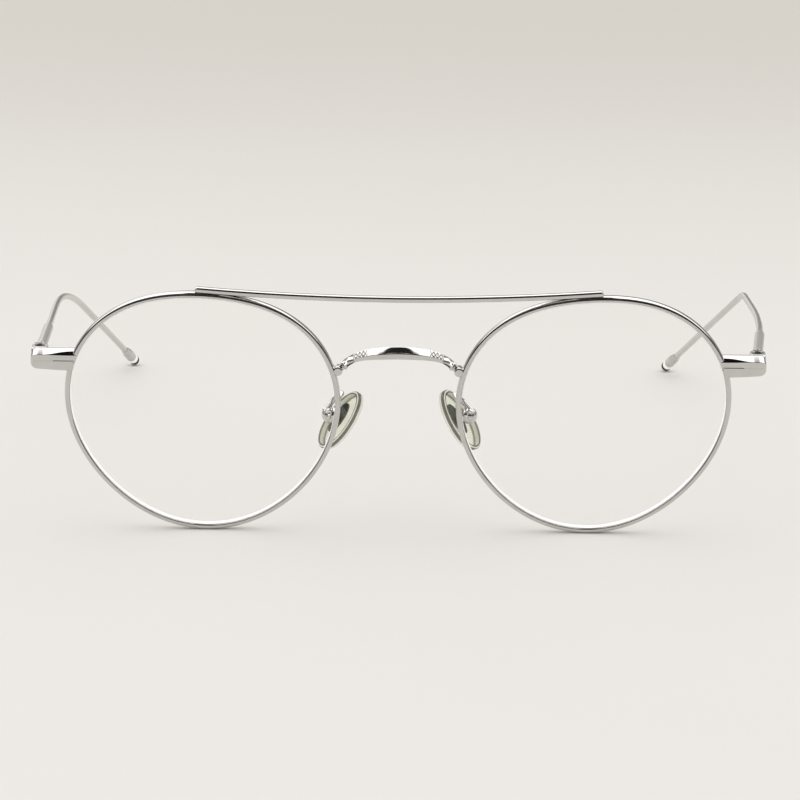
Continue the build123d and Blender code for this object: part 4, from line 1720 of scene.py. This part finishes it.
@dataclass
class EndPiece:
    """Block between rim and hinge: facets along its top, a slit from the rim, and a return.

    Where a size has two values, the first holds at the rim and the second further out, once the
    broad facet has grown or the steep one has faded.
    """

    outline: RimOutline
    rise: float = 8.7
    height: float = 3.9
    length: float = 7.2
    front: float = -0.905
    thickness: float = 2.7
    overlap: float = 0.85
    outer_round: float = 1.25
    plan_round: float = 0.8
    under_lift: float = 0.03
    lift_outer: float = 0.4
    lift_power: float = 1.5
    top_back_drop: float = 0.12
    top_front: float = 0.72
    top_front_drop: float = 0.1
    broad_front: tuple[float, float] = (-0.7, -1.3)
    broad_drop: tuple[float, float] = (0.28, 0.78)
    steep_drop: tuple[float, float] = (0.9, 0.84)
    steep_least: float = 0.04
    grown_by: float = 0.7
    faded_by: float = 0.62
    rounds: tuple[float, ...] = (0.3, 0.1, 0.12, 0.45)
    facet_round: tuple[float, float] = (0.12, 0.07)
    slit_length: float = 3.0
    slit_half: float = 0.06
    slit_lip: float = 0.01
    slit_depth: float = 0.7
    rim_angles: tuple[float, float] = (-0.2, 0.9)
    rim_blend: float = 2.0
    return_width: float = 2.9
    return_height: float = 2.6
    return_round: float = 0.5
    return_front: float = -4.4
    return_back: float = -2.05
    return_aside: float = -0.25
    return_chamfer: float = 0.1
    return_end_size: float = 0.95
    rows: int = 72

    @staticmethod
    def _going(values: tuple[float, float], share: float) -> float:
        """Size that goes from the first value to the second."""
        return values[0] + (values[1] - values[0]) * share

    def _section(self, share: float) -> Array:
        """Section at that share of the length: back and up, from the middle of the end piece.

        The broad facet falls to the front more steeply outwards, and the narrow steep facet under
        it fades out.

        Args:
            share: Share of the length, from the rim outwards.

        Returns:
            Both numbers at each point.
        """
        half_y, half_z = self.thickness / 2, self.height / 2
        grow, fade = smooth_step(share / np.array([self.grown_by, self.faded_by]))
        broad_z = half_z - self._going(self.broad_drop, grow)
        steep_z = min(half_z - self._going(self.steep_drop, fade), broad_z - self.steep_least)
        low = -half_z + self.under_lift + self.lift_outer * share ** self.lift_power
        lip, slit = self.slit_lip, self.slit_half
        corners = [
            (half_y, low), (half_y, half_z - self.top_back_drop),
            (self.top_front, half_z - self.top_front_drop), (self._going(self.broad_front, fade), broad_z),
            (-half_y, steep_z), (-half_y, slit + lip), (lip - half_y, slit), (lip - half_y, -slit),
            (-half_y, -slit - lip), (-half_y, low)]
        under_back, top_back, top_front, under_front = self.rounds
        facet = self._going(self.facet_round, fade)
        radii = [under_back, top_back, top_front, facet, facet, *[lip / 5] * 4, under_front]
        return rounded_loop(corners, radii, 7)

    def block(self) -> Array:
        """Block whose section changes outwards and shrinks over the rounded outer end.

        Over the last distance d < r, the half height loses r (1 - sqrt(1 - (1 - d / r) squared)),
        and the half thickness loses the same with its own smaller r. The inner end follows the rim.

        Returns:
            Grid of points, one row for each section.
        """
        rim_side = float(self.outline.edge_at(self.rise, 0.0)[0])
        end = rim_side + self.length
        tail = end - self.outer_round * (1 - np.sin(quarter_turn(18)))
        x = np.concatenate([np.linspace(rim_side - self.overlap, tail[0], self.rows)[:-1], tail])
        shares = np.clip((x - rim_side) / self.length, 0, 1)
        sections = np.stack([self._section(float(share)) for share in shares])
        back, up = sections[..., 0], sections[..., 1]
        gap = np.clip(end - x, 0, None)[:, None]
        x = x[:, None]
        tall = 1 - self._lost(gap, self.outer_round) / (self.height / 2)
        deep = 1 - self._lost(gap, self.plan_round) / (self.thickness / 2)
        cut = (np.abs(up) < self.slit_half + self.slit_lip / 2) & (back < 0)
        cut = cut & (x < rim_side + self.slit_length)
        z = self.rise + up * tall
        y = self.front + self.thickness / 2 + (back + np.where(cut, self.slit_depth, 0.0)) * deep
        rim = self.outline.points(np.linspace(*self.rim_angles, 400), 0.0)
        start = np.interp(z, rim[:, 1], rim[:, 0]) - rim_side
        near = np.clip((rim_side + self.rim_blend - x) / (self.rim_blend + self.overlap), 0, 1)
        return points_of(x + start * near, y, z)

    @staticmethod
    def _lost(gap: Array, radius: float) -> Array:
        """What a rounding of that radius takes off at a distance from the end."""
        share = np.clip(1 - gap / radius, 0, 1)
        return radius * (1 - np.sqrt(1 - share ** 2))

    def turned_back(self) -> Array:
        """Return: a rounded rectangle carried back to the hinge leaf, in the hinge's frame.

        Returns:
            Grid of points.
        """
        across, up = rounded_box(self.return_width / 2, self.return_height / 2, self.return_round).T
        back = self.return_back
        y = np.array([self.return_front, back - self.return_chamfer, back])[:, None]
        size = np.array([1.0, 1.0, self.return_end_size])[:, None]
        return points_of(self.return_aside + across * size, y, up * size)

    def build(self, place: FrontFrame) -> None:
        """Makes both end pieces and dresses the hinges' leaves and screws.

        Args:
            place: Frame of the front.
        """
        for side in BOTH_SIDES:
            label, hinge = side.label, hinge_place(side, 0.0)
            skins = [Surface(place.on(side).place(self.block())), Surface(hinge.place(self.turned_back()))]
            name = f"end_piece_{label}"
            add_piece(f"faceted_{name}", skins, FINISHES.polished, "front", [name])
            dress_node(f"hinge_leaf_{label}", FINISHES.polished)
            dress_node(f"closing_screw_{label}", FINISHES.screw)
            dress_node(f"hinge_screw_{label}", FINISHES.screw)


# Studio

@dataclass
class Studio:
    """Pale floor, soft light all round and the camera.

    A pair of numbers for a part of the light is where its edge starts and ends to fade.
    """

    floor_radius: float = 4.0
    floor_colour: Colour = (0.93, 0.91, 0.88)
    far_colour: Colour = (0.72, 0.69, 0.635)
    floor_roughness: float = 0.6
    floor_lustre: float = 0.2
    floor_fades: tuple[float, float] = (-0.05, 0.75)
    cloud_scale: float = 6.0
    cloud_rise: tuple[float, float] = (0.3, 0.7)
    clouded: float = 0.99
    grain: float = 0.01
    grain_scale: float = 900.0
    light_colour: Colour = (1.0, 0.99, 0.975)
    camera_sees: Colour = (0.72, 0.7, 0.66)
    sky: float = 2.05
    even_light: float = 0.9
    low_band: tuple[float, float] = (0.36, 0.5)
    low_cover: float = 0.84
    window_light: float = 0.3
    window_inner: tuple[float, float] = (0.03, 0.12)
    window_outer: tuple[float, float] = (0.4, 0.5)
    dark_side: tuple[float, float] = (-0.2, 0.04)
    dark_cover: float = 0.965
    card_half: tuple[float, float] = (0.115, 0.62)
    card_edge: tuple[float, float] = (0.9, 1.08)
    card_above: tuple[float, float] = (0.4, 0.5)
    card_cover: float = 0.99
    camera_elevation_deg: float = 12.6
    camera_roll_deg: float = 0.62
    camera_distance: float = 0.8
    camera_lens: float = 195.12
    sensor: float = 36.0
    aim_offset: Triple = (0.35, -0.17, 1.65)

    def floor(self) -> None:
        """Round pale floor with a faint paper grain, darker far behind the glasses by painted shade."""
        angle = whole_turn(96)
        edge = points_of(np.cos(angle), np.sin(angle), 0.0) * self.floor_radius
        mesh = bpy.data.meshes.new("pale_floor")
        mesh.from_pydata(edge.tolist(), [], [list(range(len(edge)))])
        material = bpy.data.materials.new("pale_paper")
        graph = Graph(material)
        clouds = graph.noise(self.cloud_scale, detail=2.0).ramp(*self.cloud_rise)
        near = graph.blend(clouds, self.floor_colour, dimmed(self.floor_colour, self.clouded))
        # Painted shade: the floor's colour darkens towards the far colour behind the glasses.
        painted_far_shade = graph.component(graph.place(), 1).ramp(*self.floor_fades)
        graph.finish(graph.principled({
            "Base Color": graph.blend(painted_far_shade, near, self.far_colour), "Roughness": self.floor_roughness,
            "Specular IOR Level": self.floor_lustre,
            "Normal": graph.bump(graph.noise(self.grain_scale, detail=4.0), self.grain)}))
        mesh.materials.append(material)
        floor = link("pale_floor", mesh)

    def light(self) -> None:
        """Even light on matt surfaces, and what the metal mirrors: light, a dark side and a dark card.

        With (x, y, z) the direction into the surroundings, y is positive behind the glasses.
        The card covers the oval (x / a) to the fourth + (y / b) squared < 1 round the zenith. The
        light starts above a dark band all round, which a window brightens on the left. What the
        camera sees past the floor is plain.
        """
        world = bpy.data.worlds.new("soft_studio")
        bpy.context.scene.world = world
        graph = Graph(world)
        direction = graph.node("ShaderNodeTexCoord", {}, {}, "Generated")
        x, y, z = (graph.component(direction, index) for index in range(3))
        left = 0.0 - x
        window = left.ramp(*self.window_inner) * (1.0 - left.ramp(*self.window_outer))
        low_band = (1.0 - z.ramp(*self.low_band)) * (self.low_cover - window * self.window_light)
        dark_side = (1.0 - y.ramp(*self.dark_side)) * self.dark_cover
        wide, deep = self.card_half
        aside = x * x * wide ** -2
        oval = aside * aside + y * y * deep ** -2
        card = (1.0 - oval.ramp(*self.card_edge)) * z.ramp(*self.card_above) * self.card_cover
        strength = (1.0 - low_band) * (1.0 - dark_side) * (1.0 - card) * self.sky
        mirrored = graph.light_path("Is Glossy Ray")
        shining = mirrored * strength + (1.0 - mirrored) * self.even_light
        backgrounds = (
            graph.node("ShaderNodeBackground", {}, {"Color": _opaque(colour), "Strength": power})
            for colour, power in ((self.light_colour, shining), (self.camera_sees, 1.0)))
        graph.finish(graph.mix(graph.light_path("Is Camera Ray"), *backgrounds), "ShaderNodeOutputWorld")

    def camera(self, place: FrontFrame) -> None:
        """Camera at the photograph's angle, with a slight roll.

        Args:
            place: Frame of the front, which the camera aims near.
        """
        elevation, roll = math.radians(self.camera_elevation_deg), math.radians(self.camera_roll_deg)
        back = UP * math.sin(elevation) - BACK * math.cos(elevation)
        level = np.cross(back, OUT)
        matrix = np.eye(4)
        matrix[:3, 0] = OUT * math.cos(roll) + level * math.sin(roll)
        matrix[:3, 1] = level * math.cos(roll) - OUT * math.sin(roll)
        matrix[:3, 2] = back
        matrix[:3, 3] = (place.origin + np.array(self.aim_offset)) * METRES + back * self.camera_distance
        data = bpy.data.cameras.new("front_camera")
        data.lens, data.sensor_width = self.camera_lens, self.sensor
        camera = bpy.data.objects.new("front_camera", data)
        bpy.context.scene.collection.objects.link(camera)
        camera.matrix_world = matrix.T.tolist()
        bpy.context.scene.camera = camera

    def build(self, place: FrontFrame) -> None:
        """Makes the studio.

        Args:
            place: Frame of the front.
        """
        self.floor()
        self.light()
        self.camera(place)
        bpy.context.scene.view_settings.view_transform = "Standard"


def main() -> None:
    """Builds the glasses and the studio."""
    logging.basicConfig(level=logging.INFO, format="%(name)s: %(message)s")
    outline = RimOutline()
    rim = Rim(outline)
    place = find_front(rim)
    left = NosePad(
        outline, Side.LEFT, tilt_deg=34.4, pad_shift=(0.1, -0.1), box_shift=(-0.55, -0.4), length=12.7)
    right = NosePad(
        outline, Side.RIGHT, tilt_deg=31.0, pad_shift=(0.5, -0.05), box_shift=(0.0, -0.25), length=12.8)
    for part in (rim, Lens(outline), BrowBar(outline), NoseBridge(outline), left, right, EndPiece(outline)):
        part.build(place)
    for temple in TEMPLES:
        temple.build()
    Studio().build(place)


if __name__ == "__main__":
    main()
